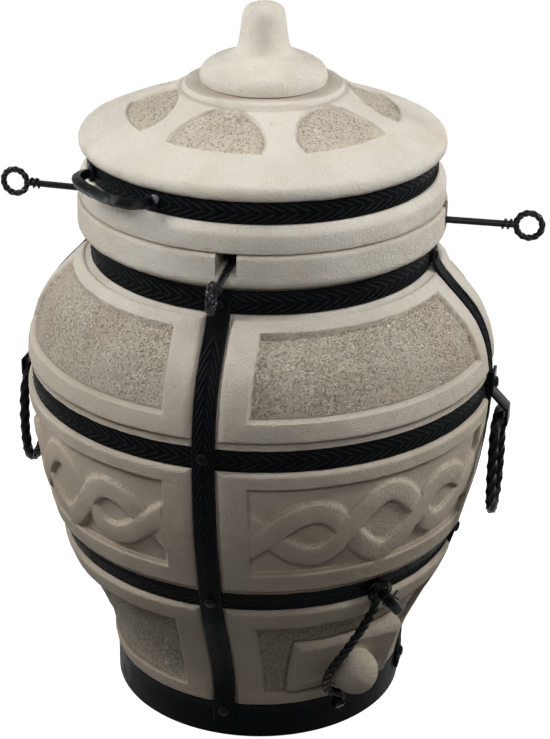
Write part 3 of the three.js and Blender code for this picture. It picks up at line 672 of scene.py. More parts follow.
def clay_belly():
    azimuths = np.arange(0, 360, 0.4)
    low = BASE_JOINT + JOINT_GAP
    high = RIM_JOINT - JOINT_GAP
    seat = BELLY_HOOP - TOUCH
    middle = LOWER_HOOP + HOOP_HEIGHT + TOUCH + LOWER_LEDGE
    upper = BELLY_HOOP + HOOP_HEIGHT + TOUCH + BELLY_LEDGE
    rows = seat_rows(azimuths, [(low, HOOP_FLOOR)] + ledge_levels(LOWER_HOOP, LOWER_LEDGE))
    rows += tier_rows(middle, seat, 1.9, azimuths)
    rows += seat_rows(azimuths, [(seat, HOOP_FLOOR), (BELLY_HOOP + 13, HOOP_FLOOR)]
                      + ledge_levels(BELLY_HOOP, BELLY_LEDGE))
    rows += tier_rows(upper, TILE_TOP, 2.4, azimuths)
    rows += [(NECK_RADIUS + 2.5, TILE_TOP - 0.6), (NECK_RADIUS, TILE_TOP + 1.0),
             (NECK_RADIUS, 575), (NECK_RADIUS, high)]
    rows += chamber_rows(high, low, 17)
    finish_jar(turned("clay_belly", rows, azimuths), "clay_body")


def clay_rim():
    under, edge = 11.0, 3.5
    joint = RIM_JOINT + JOINT_GAP
    mouth = CHAMBER[-1][1]
    rows = [(NECK_RADIUS, z) for z in (joint, 590, RIM_BOTTOM)]
    rows += arc(RIM_RADIUS - under, RIM_BOTTOM + under, under, -90, 0, 8)[1:]
    rows += [(RIM_RADIUS, z) for z in np.linspace(615.5, RIM_TOP - 5, 11)]
    rows += arc(RIM_RADIUS - edge, RIM_TOP - edge, edge, 0, 90, 6)[1:]
    rows += [(r, RIM_TOP) for r in (200, 184, 168, MOUTH_RADIUS + 4)]
    rows += [(MOUTH_RADIUS + 1, RIM_TOP - 1), (MOUTH_RADIUS, RIM_TOP - 4),
             (MOUTH_RADIUS, mouth + 12)]
    rows += chamber_rows(mouth, joint, 5)
    rim = turned("clay_rim_ring", rows, np.arange(0, 360, 0.6))
    cut_away(rim, [block(f"notch_{i}", azimuth, NOTCH_WIDTH, MOUTH_RADIUS - 20, RIM_RADIUS + 20,
                         RIM_TOP - NOTCH_DEPTH, RIM_TOP + 10)
                   for i, azimuth in enumerate(NOTCH_AZIMUTHS)])
    finish_jar(rim, "clay_rim")


def finish_jar(obj, replaced):
    """Roughens a ring of the jar and tells its material where panels, cracks and soot are, and
    where shade is painted into its creases.
    """
    points = coordinates(obj)
    radius, azimuth, z = polar(points)
    wall, _ = wall_at(z)
    tiles = (radius > wall - 11.5) & (z > BASE_RING_HEIGHT) & (z < TILE_TOP - 1)
    neck = (z >= TILE_TOP - 1) & (radius > NECK_RADIUS - 1)
    inside = ~tiles & ~neck & (z > FLOOR + 1) & (z < RIM_TOP - 1)
    channel, recess, rough = tile_depth(azimuth, z)
    rough = rough * tiles
    middle = (z > MIDDLE_PANEL[0] + 3) & (z < MIDDLE_PANEL[1] - 3) & (recess > 5)
    height = braid_height(azimuth, z) * middle
    local = carried(points, plate_frame().inverted())
    off_plate = np.maximum(np.abs(local[:, 0]) - PLATE_HALF_WIDTH - PLATE_FLARE * local[:, 1],
                           np.abs(local[:, 1]) - PLATE_HALF_HEIGHT)
    # Painted shade, with some real dirt: under the ledges, on the panels' recess walls and corners,
    # at the braid's foot, in the strap channels and round the plug's plate.
    hollow = np.maximum.reduce([
        near(z, LOWER_HOOP + HOOP_HEIGHT + LOWER_LEDGE + 0.6, 1.3),
        near(z, BELLY_HOOP + HOOP_HEIGHT + BELLY_LEDGE + 0.6, 1.3),
        near(recess, 3.2, 2.0) * 0.45,
        near(recess, 5.7, 0.5) * (recess < 5.97) * 0.75,
        near(height, 0.7, 0.8) * middle * (height > 0.02) * 0.6,
        near(channel, 5.0, 1.6) * 0.5,
        near(np.maximum(off_plate, 0), 0, 2.4) * (np.abs(local[:, 2]) < 20) * 0.9]) * tiles
    lumps = noise(points, 6.0, 5)
    # More painted shade at the rim's top edge under the lid and in the stipple's dips.
    hollow = np.maximum.reduce([hollow, near(z, RIM_TOP, 1.5) * 0.6 * neck,
                                rough * smooth(-lumps, 0.35, 0.7) * 0.18])
    paint(obj, rough=rough, hollow=hollow, soot=inside * smooth(z, 60, 200) * 0.75)
    move = 0.40 * noise(points, 15.0, 3) + 0.18 * noise(points, 5.5, 4) + rough * 0.65 * lumps
    quiet = (channel > 4.5) | ~(tiles | neck) | (z < BASE_RING_HEIGHT + 4)
    move = np.where(quiet, np.clip(move, -0.1, 0.1), move)
    under_hoop = tiles & (wall - radius > HOOP_FLOOR - 0.6)
    push(obj, np.where(under_hoop | (neck & (z < RIM_BOTTOM - 3)), 0, move))
    finish_piece(obj, clay, "oven", replaced, sharp=35)


# ---- lid and damper cap

LID_HOOP_RADIUS = 204.0
LID_HOOP_BOTTOM = 674.5
LID_HOOP_HEIGHT = 26.0
COLLAR_TOP = 774.4
THROAT_RADIUS = 45.0
ARCH_FOOT = 158.0
ARCH_HEAD = 97.0
ARCH_HALF_ANGLE = 21.5
ARCH_COUNT = 6
ARCH_FIRST = 6.5
ARCH_DEPTH = 3.2
# Profiles as pairs of radius and height.
LID_RIM = [(146, 642.4), (178, 642.4), (208, 642.4), (211.5, 642.9), (213.4, 644.4), (214, 647),
           (214, 652), (214, 657), (214, 662), (213.6, 665), (212.4, 667.6), (209.6, 670.6),
           (207.2, 672.6)]
LID_HOLLOW = [(47, 740), (80, 733.5), (104, 715), (120, 698), (128, 684), (128, 665), (128, 645),
              (128, 632.4), (130, 630.4), (144, 630.4), (146, 632.4), (146, 637)]
# Over its hoop the lid's plate, and over its seat the cap, with heights from there.
LID_PLATE = [(204.6, 0), (207.6, 0.6), (210.4, 2.2), (212.2, 4.6), (213, 7.8), (213, 11),
             (212, 14.4), (210, 17.2)]
CAP_SPIGOT = [(0, -14), (20, -14), (39, -14), (41.4, -12), (42, -9), (42, 0), (56, 0), (69, 0),
              (71.2, 0.5)]
CAP_SIDE = [(72.2, 1.6), (73, 5), (73.2, 9.5), (72, 14), (69.4, 18), (65, 21.5), (56, 26.5),
            (44, 30.5), (36, 34), (31.5, 38), (29.6, 43), (28, 50), (26.4, 62), (24.6, 75),
            (22.6, 82.4), (18.6, 87.6), (12, 90.2), (4, 91.2)]
CAP_TOP = 91.3


def raised(profile, height):
    return [(r, z + height) for r, z in profile]


def arch_inset(azimuth, radius):
    """Distance in from the edge of the nearest arched panel, negative outside it."""
    step = 360.0 / ARCH_COUNT
    angle = np.radians((np.asarray(azimuth) - ARCH_FIRST + step / 2) % step - step / 2)
    x = radius * np.sin(angle)
    y = radius * np.cos(angle)
    half = ARCH_FOOT * math.sin(math.radians(ARCH_HALF_ANGLE))
    shoulder = ARCH_FOOT * math.cos(math.radians(ARCH_HALF_ANGLE))
    rise = shoulder - ARCH_HEAD
    s = np.clip((shoulder - y) / rise, 0, None) ** (1 / 0.8)
    head = (1 - np.sqrt((x / half) ** 2 + s ** 2)) * rise
    return np.minimum(head, ARCH_FOOT - radius)


def lid():
    azimuths = np.arange(0, 360, 0.5)
    hoop_floor = LID_HOOP_RADIUS - STEEL - TOUCH
    low = LID_HOOP_BOTTOM - TOUCH
    high = LID_HOOP_BOTTOM + LID_HOOP_HEIGHT + TOUCH
    rows = LID_RIM + [(205.6, low), (hoop_floor, low), (hoop_floor, high)]
    rows += raised(LID_PLATE, high)
    dome = catmull(DOME, 72)
    for (r, z), (tr, tz) in zip(dome, unit(np.gradient(dome, axis=0))):
        depth = ARCH_DEPTH * smooth(arch_inset(azimuths, r), -0.6, 2.6)
        rows.append((r - depth * tz, z + depth * tr))
    rows += [(95.5, 768.6), (93.4, 769.6), (92.8, 771.4), (92.2, 773.2)]
    rows += [(r, COLLAR_TOP) for r in (90.8, 76, 60, 47)]
    rows += [(THROAT_RADIUS, z) for z in (COLLAR_TOP - 2, 758, 742)] + LID_HOLLOW
    obj = turned("lid_dome", rows, azimuths)
    points = coordinates(obj)
    radius, azimuth, z = polar(points)
    plate = (z > 712) & (radius > 94)
    inset = arch_inset(azimuth, radius)
    rough = smooth(inset, 1.5, 4.5) * plate
    lumps = noise(points, 6.0, 21)
    # Painted shade on the arches' walls, in the stipple's dips and in the collar's step and groove;
    # under the plate's edge, real soiling.
    wall = smooth(inset, -0.8, 0.6) * (1 - smooth(inset, 1.2, 2.8)) * plate
    wall *= 0.6 + 0.8 * smooth(noise(points, 12.0, 26), -0.3, 0.5)
    soiled = smooth(noise(points, 8.0, 25), -0.4, 0.6) * (radius > 202)
    hollow = np.maximum.reduce([
        wall * 0.45,
        rough * smooth(-lumps, 0.35, 0.7) * 0.2,
        near(radius, 95.5, 1.6) * (z > 764) * 0.6,
        near(radius, 75.0, 2.0) * (z > 773) * 0.7,
        near(z, high + 1.0, 2.6) * soiled * 0.5])
    soot = ((radius < 146) & (z < 765) & ~plate) * 0.55
    paint(obj, rough=rough, hollow=hollow, soot=soot)
    move = 0.35 * noise(points, 17.0, 22) + 0.2 * noise(points, 6.0, 23) + rough * 0.8 * lumps
    edge = near(z, high + 5, 6.0) * (radius > 204) + near(z, 664, 9.0) * (radius > 205)
    move -= 1.1 * smooth(noise(points, 9.0, 24), 0.62, 0.8) * edge
    move = np.where(radius < 92, np.clip(move, -0.1, 0.1), move)
    hidden = (np.abs(z - LID_HOOP_BOTTOM - 13) < 14) & (radius < 206)
    push(obj, np.where(hidden | (z < 642.6), 0, move))
    finish_piece(obj, clay, "lid", "lid", sharp=35)


def damper_cap():
    seat = COLLAR_TOP + TOUCH
    rows = raised(CAP_SPIGOT, seat) + list(catmull(raised(CAP_SIDE, seat), 64))
    obj = turned("chimney_cap", rows + [(0, seat + CAP_TOP)], np.arange(0, 360, 1.5))
    points = coordinates(obj)
    z = points[:, 2]
    lumpy = 0.4 * noise(points, 16.0, 31) + 0.2 * noise(points, 5.0, 32)
    # The crease where the cap sits on the collar darkened: painted shade.
    paint(obj, hollow=near(z, seat, 1.5) * 0.5)
    push(obj, np.where(z < seat + 1, 0, lumpy))
    finish_piece(obj, clay, "damper_cap", "damper_cap", sharp=35)


# ---- vent plug

PLUG_KNOB = np.array([5.0, 5.0, 24.5])
PLUG_KNOB_RADIUS = 28.0


def own_copy(solid, name):
    """A copy of a solid, to be dressed."""
    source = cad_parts[solid]
    obj = put_in(name, source.data.copy())
    obj.matrix_world = source.matrix_world
    return obj


def vent_plug():
    """The plate and its tenon take the solid's shape with rubbed-down edges, under a hand-rolled
    knob.
    """
    obj = own_copy("vent_plug", "plug")
    modifier = obj.modifiers.new("grid", "REMESH")
    modifier.mode = "VOXEL"
    modifier.voxel_size = 1.7 * MM
    settle(obj)
    place = plate_frame()
    points = coordinates(obj)
    front = smooth(carried(points, place.inverted())[:, 2], -9, -3)[:, None]
    soft = points.copy()
    one, other = np.array([e.vertices[:] for e in obj.data.edges]).T
    valence = np.bincount(np.append(one, other), minlength=len(points))[:, None]
    for _ in range(4):
        total = np.zeros_like(soft)
        np.add.at(total, one, soft[other])
        np.add.at(total, other, soft[one])
        soft = soft * 0.4 + total / valence * 0.6
    points = points + (soft - points) * np.maximum(front, 0.25)
    local = carried(points, place.inverted())
    ball = local - PLUG_KNOB
    distance = np.linalg.norm(ball, axis=1)
    on_ball = smooth(local[:, 2], 9.5, 15.0) * smooth(-np.abs(distance - PLUG_KNOB_RADIUS), -7, -4)
    target = unit(ball) * PLUG_KNOB_RADIUS + PLUG_KNOB
    local = local + (target - local) * on_ball[:, None]
    points = carried(local, place)
    set_coordinates(obj, points)
    lumpy = 0.45 * noise(points, 13.0, 41) + 0.25 * noise(points, 5.0, 42)
    chips = smooth(noise(points, 11.0, 43), 0.55, 0.8)
    push(obj, (lumpy - 0.8 * chips) * smooth(local[:, 2], -8, 0))
    # A ring round the knob's foot on the plate darkened: painted shade.
    paint(obj, rough=0.15 * smooth(local[:, 2], -4, 2),
          hollow=near(local[:, 2], 8.0, 2.0) * smooth(-distance, -33, -29) * 0.5)
    finish_piece(obj, clay, "vent_plug", "vent_plug", sharp=35)


# ---- pressed steel strip

LEAF_PITCH = 13.0
LEAF_RUN = 27.0
STRAP_LEAF_RUN = 36.0
LEAF_PHASES = np.array([0.0, 0.05, 0.10, 0.16, 0.26, 0.45, 0.68, 0.88])
LEAF_ROWS = np.array([-1.0, -0.985, -0.93, -0.86, -0.72, -0.54, -0.36, -0.18, -0.06, 0.0,
                      0.06, 0.18, 0.36, 0.54, 0.72, 0.86, 0.93, 0.985, 1.0])
RELIEF_FLOOR = 0.2
RELIEF_MOST = 0.75
STRAP_PLAIN_TOP = 24.0


def leaf_height(across, phase, wear=1.0):
    """Height of the pressed leaf pattern at a place across the strip, from -1 to 1."""
    blade = smooth(phase, 0.0, 0.1) * (1 - 0.85 * smooth(phase, 0.11, 0.7))
    inside = 1 - smooth(np.abs(across), 0.80, 0.92)
    rib = np.exp(-(across / 0.055) ** 2)
    return wear * (inside * (blade * 1.05 - 0.35) * (1 - rib) - 0.35 * rib * inside)


def edge_round(across):
    return -0.9 * smooth(np.abs(across), 0.93, 1.0) ** 2


def leaf_run(across, run=LEAF_RUN):
    return run * np.abs(across) ** 1.25


def hoop_face(z, relief, radius):
    """Radius and height on a hoop's face: on the jar's wall, or upright at a radius."""
    lift = np.minimum(relief, RELIEF_MOST) - RELIEF_FLOOR
    return wall_at(z, HOOP_INSET - lift) if radius is None else (radius + lift, z)


def pressed_hoop(name, body, replaced, bottom, height, radius=None):
    """A hoop of pressed strip, on the jar's wall or upright at a radius."""
    middle = float(hoop_face(bottom + height / 2, 0, radius)[0])
    repeats = round(2 * math.pi * middle / LEAF_PITCH)
    columns = (np.arange(repeats)[:, None] + LEAF_PHASES).ravel() * 360 / repeats
    phase = np.tile(LEAF_PHASES, repeats)
    grid, edges = [], []
    for across, back in [(t, False) for t in LEAF_ROWS] + [(t, True) for t in (1.0, 0.0, -1.0)]:
        azimuth = np.radians(columns - np.degrees(leaf_run(across) / middle))
        relief = leaf_height(across, phase) + edge_round(across)
        z = bottom + height * (across + 1) / 2
        r, z = hoop_face(z, -STEEL if back else relief, radius)
        grid.append(on_circle(r, azimuth, z))
        # Raised crests and strip edges take the light scuff colour: rubbed paint, and a painted
        # highlight along the crests.
        wear_and_highlight = np.clip(relief * 2.6 - 0.6, 0, 1) + 0.5 * (abs(across) > 0.9)
        edges.append(wear_and_highlight * (not back))
    obj = mesh_object(name, np.concatenate(grid), quads(len(grid), len(columns), wrap_rows=True))
    paint(obj, edge=np.concatenate(edges))
    roughen(obj, (9.0, 0.16, 51))
    finish_piece(obj, black_steel, body, replaced, sharp=28)


def strap_line():
    """Radius and height along the outer face of a strap, from its foot to its tab."""
    foot = BASE_RING_RADIUS + TOUCH + STEEL
    tab = NECK_RADIUS + 2 * TOUCH + 2 * STEEL
    wall = np.stack(wall_at(np.linspace(64, 553, 110), STRAP_INSET), 1)
    line = np.concatenate([[(foot, 20), (foot, 32), (foot, 45)], wall,
                           [(tab, 571), (tab, 580), (tab, 590)]])
    return smooth_line(smooth_line(line))


def strap(index, azimuth):
    """An upright strap of pressed strip that follows the wall and is plain at both ends."""
    line = strap_line()
    length = lengths(line)
    total = length[-1]
    repeats = int((total - STRAP_PLAIN_TOP) / LEAF_PITCH)
    stations = (np.arange(repeats)[:, None] + LEAF_PHASES).ravel() * LEAF_PITCH
    stations = np.append(stations, np.linspace(repeats * LEAF_PITCH, total, 8))
    phase = np.append(np.tile(LEAF_PHASES, repeats), np.ones(8))
    fade = smooth(stations, 0, 36) * (1 - smooth(stations, total - 40, total - 20))
    wear = smooth(stations, 4, 20) * (1 - smooth(stations, total - 42, total - 26))
    course = np.hstack([line, unit(np.gradient(line, axis=0))])
    grid, edges = [], []
    for across, back in [(t, False) for t in LEAF_ROWS] + [(1.0, True), (-1.0, True)]:
        s = np.clip(stations - leaf_run(across, STRAP_LEAF_RUN) * fade, 0, total)
        relief = leaf_height(across, phase, wear) + edge_round(across) - 0.1
        lift = -STEEL if back else relief
        r, z, tr, tz = (np.interp(s, length, column) for column in course.T)
        side = np.full(len(s), across * STRAP_WIDTH / 2)
        grid.append(place_points(np.stack([side, r + lift * tz, z - lift * tr], 1), azimuth))
        # Raised crests and strip edges take the light scuff colour: rubbed paint, and a painted
        # highlight along the crests.
        edges.append(np.clip(relief * 2.6 - 0.4, 0, 1) * (not back) + 0.5 * (abs(across) > 0.9))
    rows, columns = len(grid), len(stations)
    faces = quads(rows, columns, wrap_rows=True, wrap_columns=False)
    faces.append([i * columns for i in range(rows)])
    faces.append([i * columns + columns - 1 for i in range(rows)][::-1])
    obj = mesh_object(f"strap_{index}_strip", np.concatenate(grid), faces)
    paint(obj, edge=np.concatenate(edges))
    roughen(obj, (9.0, 0.18, 60 + index))
    finish_piece(obj, black_steel, "oven", f"strap_{index}", sharp=28)


def base_ring():
    inner, face, top = BASE_RING_RADIUS - STEEL, BASE_RING_RADIUS, BASE_RING_HEIGHT
    rows = [(inner, 0), (face - 0.8, 0), (face, 0.8), (face, 11), (face, 22), (face, 33),
            (face, top - 0.8), (face - 0.8, top), (inner, top), (inner, 22)]
    obj = turned("foot_ring", rows, np.arange(0, 360, 1.0))
    points = coordinates(obj)
    z = points[:, 2]
    paint(obj, edge=0.8 * near(z, top - 0.5, 1.2))
    push(obj, 0.22 * noise(points, 12.0, 71) * smooth(z, 0, 4))
    finish_piece(obj, black_steel, "oven", "base_ring", sharp=35)


RIVET_PROFILE = [(0, 0), (6.965, 0), (7, 0.5), (6.79, 1.4), (6.02, 2.48), (4.62, 3.36),
                 (2.66, 3.84), (0, 4)]
NECK_RIVET = 580.0
LOWER_RIVET = 227.0
BASE_RIVET = 38.0
BRACKET_FACE = 281.3 + STEEL + TOUCH


def rivets(index, azimuth):
    """The four hammered rivet heads of a strap. The belly rivet of straps 1 and 3 sits on the
    bracket of a carrying ring."""
    belly = BRACKET_FACE if index % 2 else float(wall_at(BELLY_RIVET, STRAP_INSET - TOUCH)[0])
    lower = float(wall_at(LOWER_RIVET, STRAP_INSET - TOUCH)[0])
    places = {
        "neck": (NECK_RADIUS + 3 * TOUCH + 2 * STEEL, NECK_RIVET),
        "belly": (belly, BELLY_RIVET),
        "lower": (lower, LOWER_RIVET, wall_lean(LOWER_RIVET)),
        "base": (BASE_RING_RADIUS + 2 * TOUCH + STEEL, BASE_RIVET),
    }
    for k, (kind, place) in enumerate(places.items()):
        name = f"{kind}_rivet_{index}"
        obj = turned(f"{name}_head", RIVET_PROFILE, around(28))
        roughen(obj, (4.0, 0.35, 80 + 4 * index + k))
        obj.data.transform(on_face(azimuth, *place))
        paint(obj, edge=0.2)
        finish_piece(obj, bar_steel, "oven", name)


# ---- forged bars


def centripetal(points, steps, closed=False):
    """A smooth line through points, evenly spaced along its length."""
    p = np.array(points, float)
    if closed:
        p = np.concatenate([p[-1:], p, p[:2]])
    else:
        p = np.concatenate([[2 * p[0] - p[1]], p, [2 * p[-1] - p[-2]]])
    line = []
    for i in range(len(p) - 3):
        level = p[i:i + 4]
        knots = np.cumsum([0.0] + [np.linalg.norm(b - a) ** 0.5 for a, b in zip(level, level[1:])])
        t = np.linspace(knots[1], knots[2], 24, endpoint=False)[:, None]
        for spans in (((0, 1), (1, 2), (2, 3)), ((0, 2), (1, 3)), ((1, 2),)):
            level = [(a * (knots[k] - t) + b * (t - knots[j])) / (knots[k] - knots[j])
                     for a, b, (j, k) in zip(level, level[1:], spans)]
        line.extend(level[0])
    even = evenly(np.array(line + [p[-2]]), steps + 1)
    return even[:-1] if closed else even


BAR_SIDES = 16


def bar(name, line, width, turns, corner, hammer, seed, closed=False, tip=(0.0, 1.0)):
    """A bar swept along a line: a rounded square that turns about its own line, round where
    corner is 1. From the place along it that tip gives, it swells or narrows to tip's scale."""
    line = np.asarray(line, float)
    n = len(line)
    if closed:
        tangent = unit(np.roll(line, -1, 0) - np.roll(line, 1, 0))
    else:
        tangent = unit(np.gradient(line, axis=0))
    normal = unit(np.cross(tangent[0], [0.31, 0.17, 0.93]))
    frames = []
    for t in tangent:
        normal = unit(normal - t * (normal @ t))
        frames.append((normal, np.cross(t, normal)))
    drift = 0.0
    if closed:
        last = unit(normal - tangent[0] * (normal @ tangent[0]))
        drift = math.atan2(last @ frames[0][1], last @ frames[0][0])
    angles = np.linspace(0, 2 * math.pi, BAR_SIDES, endpoint=False)
    square = 1 / np.maximum(np.abs(np.cos(angles)), np.abs(np.sin(angles)))
    shape = (square ** (1 - corner)) * width / 2
    vertices = []
    for i, (a, b) in enumerate(frames):
        u = i / (n if closed else n - 1)
        turn = angles + (2 * math.pi * turns - drift) * u
        scale = 1 + (tip[1] - 1) * max(0, (u - tip[0]) / (1 - tip[0]))
        section = np.cos(turn)[:, None] * a + np.sin(turn)[:, None] * b
        vertices.append(line[i] + scale * shape[:, None] * section)
    vertices = np.concatenate(vertices)
    faces = quads(n, BAR_SIDES, wrap_rows=closed)
    # The bar's corners and ends take the light scuff colour: rubbed paint, and painted glints along
    # the twist.
    wear_and_highlight = np.tile(np.clip((square - 1.15) * 3, 0, 1), n)
    if not closed:
        vertices = close_ends(vertices, faces, line[0], line[-1], BAR_SIDES)
        wear_and_highlight = np.append(wear_and_highlight, [0.3, 0.3])
    obj = mesh_object(name, vertices, faces)
    obj.data.flip_normals()
    roughen(obj, (6.0, hammer, seed), (2.5, hammer * 0.3, seed + 1))
    paint(obj, edge=wear_and_highlight)
    return obj


def merge(first, *others):
    """Joins several meshes into the first one."""
    pieces = [first, *others]
    with bpy.context.temp_override(active_object=first, object=first, selected_objects=pieces,
                                   selected_editable_objects=pieces):
        bpy.ops.object.join()
    return first


CARRY_RADIUS = 291.8
CARRY_HINGE = 383.5
# Half of a carrying ring, as pairs of distance to the side and height over its hinge.
CARRY_HALF = [(18, 0), (34, -12), (40, -38.4), (40, -78), (31.2, -105.6), (12.06, -119)]


def carry_ring(side_name, azimuth):
    loop = CARRY_HALF + [(-x, z) for x, z in CARRY_HALF[::-1]]
    loop = [(x, CARRY_RADIUS, CARRY_HINGE + z) for x, z in loop]
    name = f"carry_ring_{side_name}"
    obj = bar(f"{name}_bar", centripetal(place_points(loop, azimuth), 220, True), 10.8, 5.0, 0.5,
              0.4, 100, closed=True)
    finish_piece(obj, bar_steel, f"ring_{side_name}", name)


LID_HANDLE_AZIMUTH = 96.0


def lid_handle(side_name, azimuth):
    """A loop of hammered bar with forged ends, and a spot of weld beside each end."""
    name = f"lid_handle_{side_name}"
    middle = LID_HOOP_BOTTOM + LID_HOOP_HEIGHT / 2
    root = LID_HOOP_RADIUS + TOUCH + 1.5
    reach = LID_HOOP_RADIUS + 29
    half = 16.5
    beside = half + 1.6

    def at(angle, radius, lift=0.0):
        return out(azimuth + angle) * radius + UP * (middle + lift)

    course = [(-1, root), (-0.97, root + 12), (-0.68, reach - 2), (0, reach), (0.68, reach - 2),
              (0.97, root + 12), (1, root)]
    loop = bar(f"{name}_bar", centripetal([at(half * a, radius) for a, radius in course], 90),
               11.0, 0.14, 0.25, 0.55, 110)
    ends = [lump(f"end_{k}", at(angle, root + 2.2), (8.2, 3.4, 9.0), azimuth + angle, 120 + k)
            for k, angle in enumerate((-half, half))]
    finish_piece(merge(loop, *ends), bar_steel, "lid", name)
    for k, angle in enumerate((-beside, beside)):
        weld = lump(f"{name}_weld_{k + 1}", at(angle, root + 2.6, 5), (4.6, 2.6, 5.0),
                    azimuth + angle, 130 + k)
        finish_piece(weld, weld_steel, "lid", sharp=0)


def lump(name, centre, size, azimuth, seed):
    """A forged or welded lump: a rough ball, squared off and flattened against its face."""
    turns = np.radians(np.arange(1, 11) * 180 / 11)
    ball = [(0, -1), *zip(np.sin(turns), -np.cos(turns)), (0, 1)]
    obj = turned(name, ball, around(20))
    p = coordinates(obj)
    p = np.sign(p) * np.abs(p) ** 0.62 * np.array(size)
    p *= (1 + 0.18 * noise(p + seed * 7.0, 3.4, seed))[:, None]
    set_coordinates(obj, centre + place_points(p, azimuth))
    obj.data.flip_normals()
    paint(obj, edge=0.6)
    return obj


SKEWER_REACH = (290.0, 312.0, 308.0, 310.0)


def skewer(index, azimuth, reach):
    """A rod bent down into the chamber, with a twisted ring and a wire wrap at its head."""
    height = RIM_TOP - NOTCH_DEPTH + TOUCH + 4.0
    hang, bend, loop, wrap, leg = 126.0, 14.0, 15.0, 5.2, 400.0
    route = [(0, reach - 15.5, height), (0, 235, height), (0, 190, height)]
    route += [(0, hang + bend * (1 - math.sin(a)), height - bend * (1 - math.cos(a)))
              for a in np.linspace(0, math.pi / 2, 7)]
    route += [(0, hang, z) for z in np.linspace(height - 40, height - leg, 12)]
    ring = [(0, reach - loop * math.cos(a), height + loop * math.sin(a))
            for a in np.linspace(0, 2 * math.pi, 72, endpoint=False)]
    coil = [(wrap * math.cos(a), reach - 19.5 - a, height + wrap * math.sin(a))
            for a in np.linspace(0, 4 * math.pi, 60)]
    route, ring, coil = (place_points(line, azimuth) for line in (route, ring, coil))
    name = f"skewer_{index}"
    obj = merge(bar(f"hooked_{name}", evenly(route, 150), 8.0, 0.0, 1.0, 0.06, 140 + index,
                    tip=(0.94, 0.2)),
                bar("ring", ring, 6.6, 3.0, 0.45, 0.12, 150 + index, closed=True),
                bar("wrap", coil, 2.6, 0.0, 1.0, 0.05, 160 + index))
    finish_piece(obj, skewer_steel, name, name)


# ---- vent latch

LATCH_PATH = [(-5, -13, 13), (-21, -42, 15), (-36, -76, 11), (-49, -112, 4), (-48, -132, 0),
              (-40, -150, -2), (-32, -155, -1), (-24, -159, 1), (-18, -167, 2), (-21, -175, 1),
              (-28, -173, -1)]
# The pin's flange, its shank and its rounded end, as pairs of radius and distance from its root.
PIN_PROFILE = [(0, 0), (9, 0), (8.8, 1.2), (7.2, 2.8), (6, 3.6), (6, 14), (6, 24), (6, 34),
               (6, 44.5), (5.6, 47), (4.4, 48.6), (2.2, 49), (0, 49)]


def latch():
    """The twisted latch bar, the pin that its eye runs on and the wire that keeps it there."""
    place = on_face(azimuth=1.9, radius=243.63, z=226.0, lean=math.radians(12.0))
    eye_radius, wire_radius = 10.6, 7.6
    eye = [(eye_radius * math.cos(a), eye_radius * math.sin(a), 13 + 1.1 * (a - 2.0) / 2)
           for a in np.radians(np.linspace(-560, -232, 22))]
    line = evenly(np.concatenate([eye, centripetal(LATCH_PATH, 150)[4:]]), 230)
    for _ in range(3):
        line = smooth_line(line)
    hook = bar("latch_hook", line, 9.0, 6.0, 0.42, 0.3, 170, tip=(0.9, 1.4))
    pin = turned("latch_stud", PIN_PROFILE, around(32))
    roughen(pin, (4.0, 0.3, 180))
    # The pin's rounded end takes the light scuff colour: bare metal, and a painted glint.
    paint(pin, edge=smooth(coordinates(pin)[:, 2], 36, 44))
    wire = [(wire_radius * math.cos(a), wire_radius * math.sin(a), 25 + 0.5 * math.sin(2 * a))
            for a in np.radians(np.linspace(20, 385, 40))]
    wire = [(13.5, -2.5, 27), (10, 0.5, 26)] + wire + [(9.5, 6.5, 24.5), (12.5, 9.5, 24)]
    clip = bar("latch_wire", centripetal(wire, 120), 2.4, 0.0, 1.0, 0.05, 190)
    for obj, steel, body, replaced in ((hook, bar_steel, "latch", "latch_bar"),
                                       (pin, pin_steel, "oven", "latch_pin"),
                                       (clip, pin_steel, "oven", "latch_clip")):
        obj.data.transform(place)
        finish_piece(obj, steel, body, replaced)


# ---- folded brackets and grate


def dressed_copy(replaced, name, material, body, bevel):
    """The solid's own shape with rubbed-down edges."""
    obj = own_copy(replaced, name)
    weld = obj.modifiers.new("weld", "WELD")
    weld.merge_threshold = 0.01 * MM
    rounded = obj.modifiers.new("edges", "BEVEL")
    rounded.width = bevel * MM
    rounded.segments = 2
    rounded.limit_method = "ANGLE"
    rounded.angle_limit = math.radians(30)
    settle(obj)
    paint(obj, edge=0.25)
    finish_piece(obj, material, body, replaced, sharp=40)


clay_base()
clay_belly()
clay_rim()
lid()
damper_cap()
vent_plug()
base_ring()
pressed_hoop("lower_hoop", "oven", "lower_band", LOWER_HOOP, HOOP_HEIGHT)
pressed_hoop("belly_hoop", "oven", "belly_band", BELLY_HOOP, HOOP_HEIGHT)
pressed_hoop("neck_hoop", "oven", "neck_band", NECK_HOOP, HOOP_HEIGHT, NECK_RADIUS + TOUCH + STEEL)
pressed_hoop("lid_hoop", "lid", "lid_band", LID_HOOP_BOTTOM, LID_HOOP_HEIGHT, LID_HOOP_RADIUS)
for number, strap_azimuth in enumerate(STRAP_AZIMUTHS, 1):
    strap(number, strap_azimuth)
    rivets(number, strap_azimuth)
SIDES = {"right": 0, "left": 180}
for side, turn in SIDES.items():
    carry_ring(side, STRAP_AZIMUTHS[0] + turn)
for side, turn in SIDES.items():
    lid_handle(side, LID_HANDLE_AZIMUTH - turn)
for number, (notch, skewer_reach) in enumerate(zip(NOTCH_AZIMUTHS, SKEWER_REACH), 1):
    skewer(number, notch, skewer_reach)
latch()
for side in SIDES:
    dressed_copy(f"ring_bracket_{side}", f"{side}_bracket", bar_steel, "oven", 0.9)
dressed_copy("grate", "fire_grate", cast_iron, "grate", 1.0)

# ---- camera, light and floor

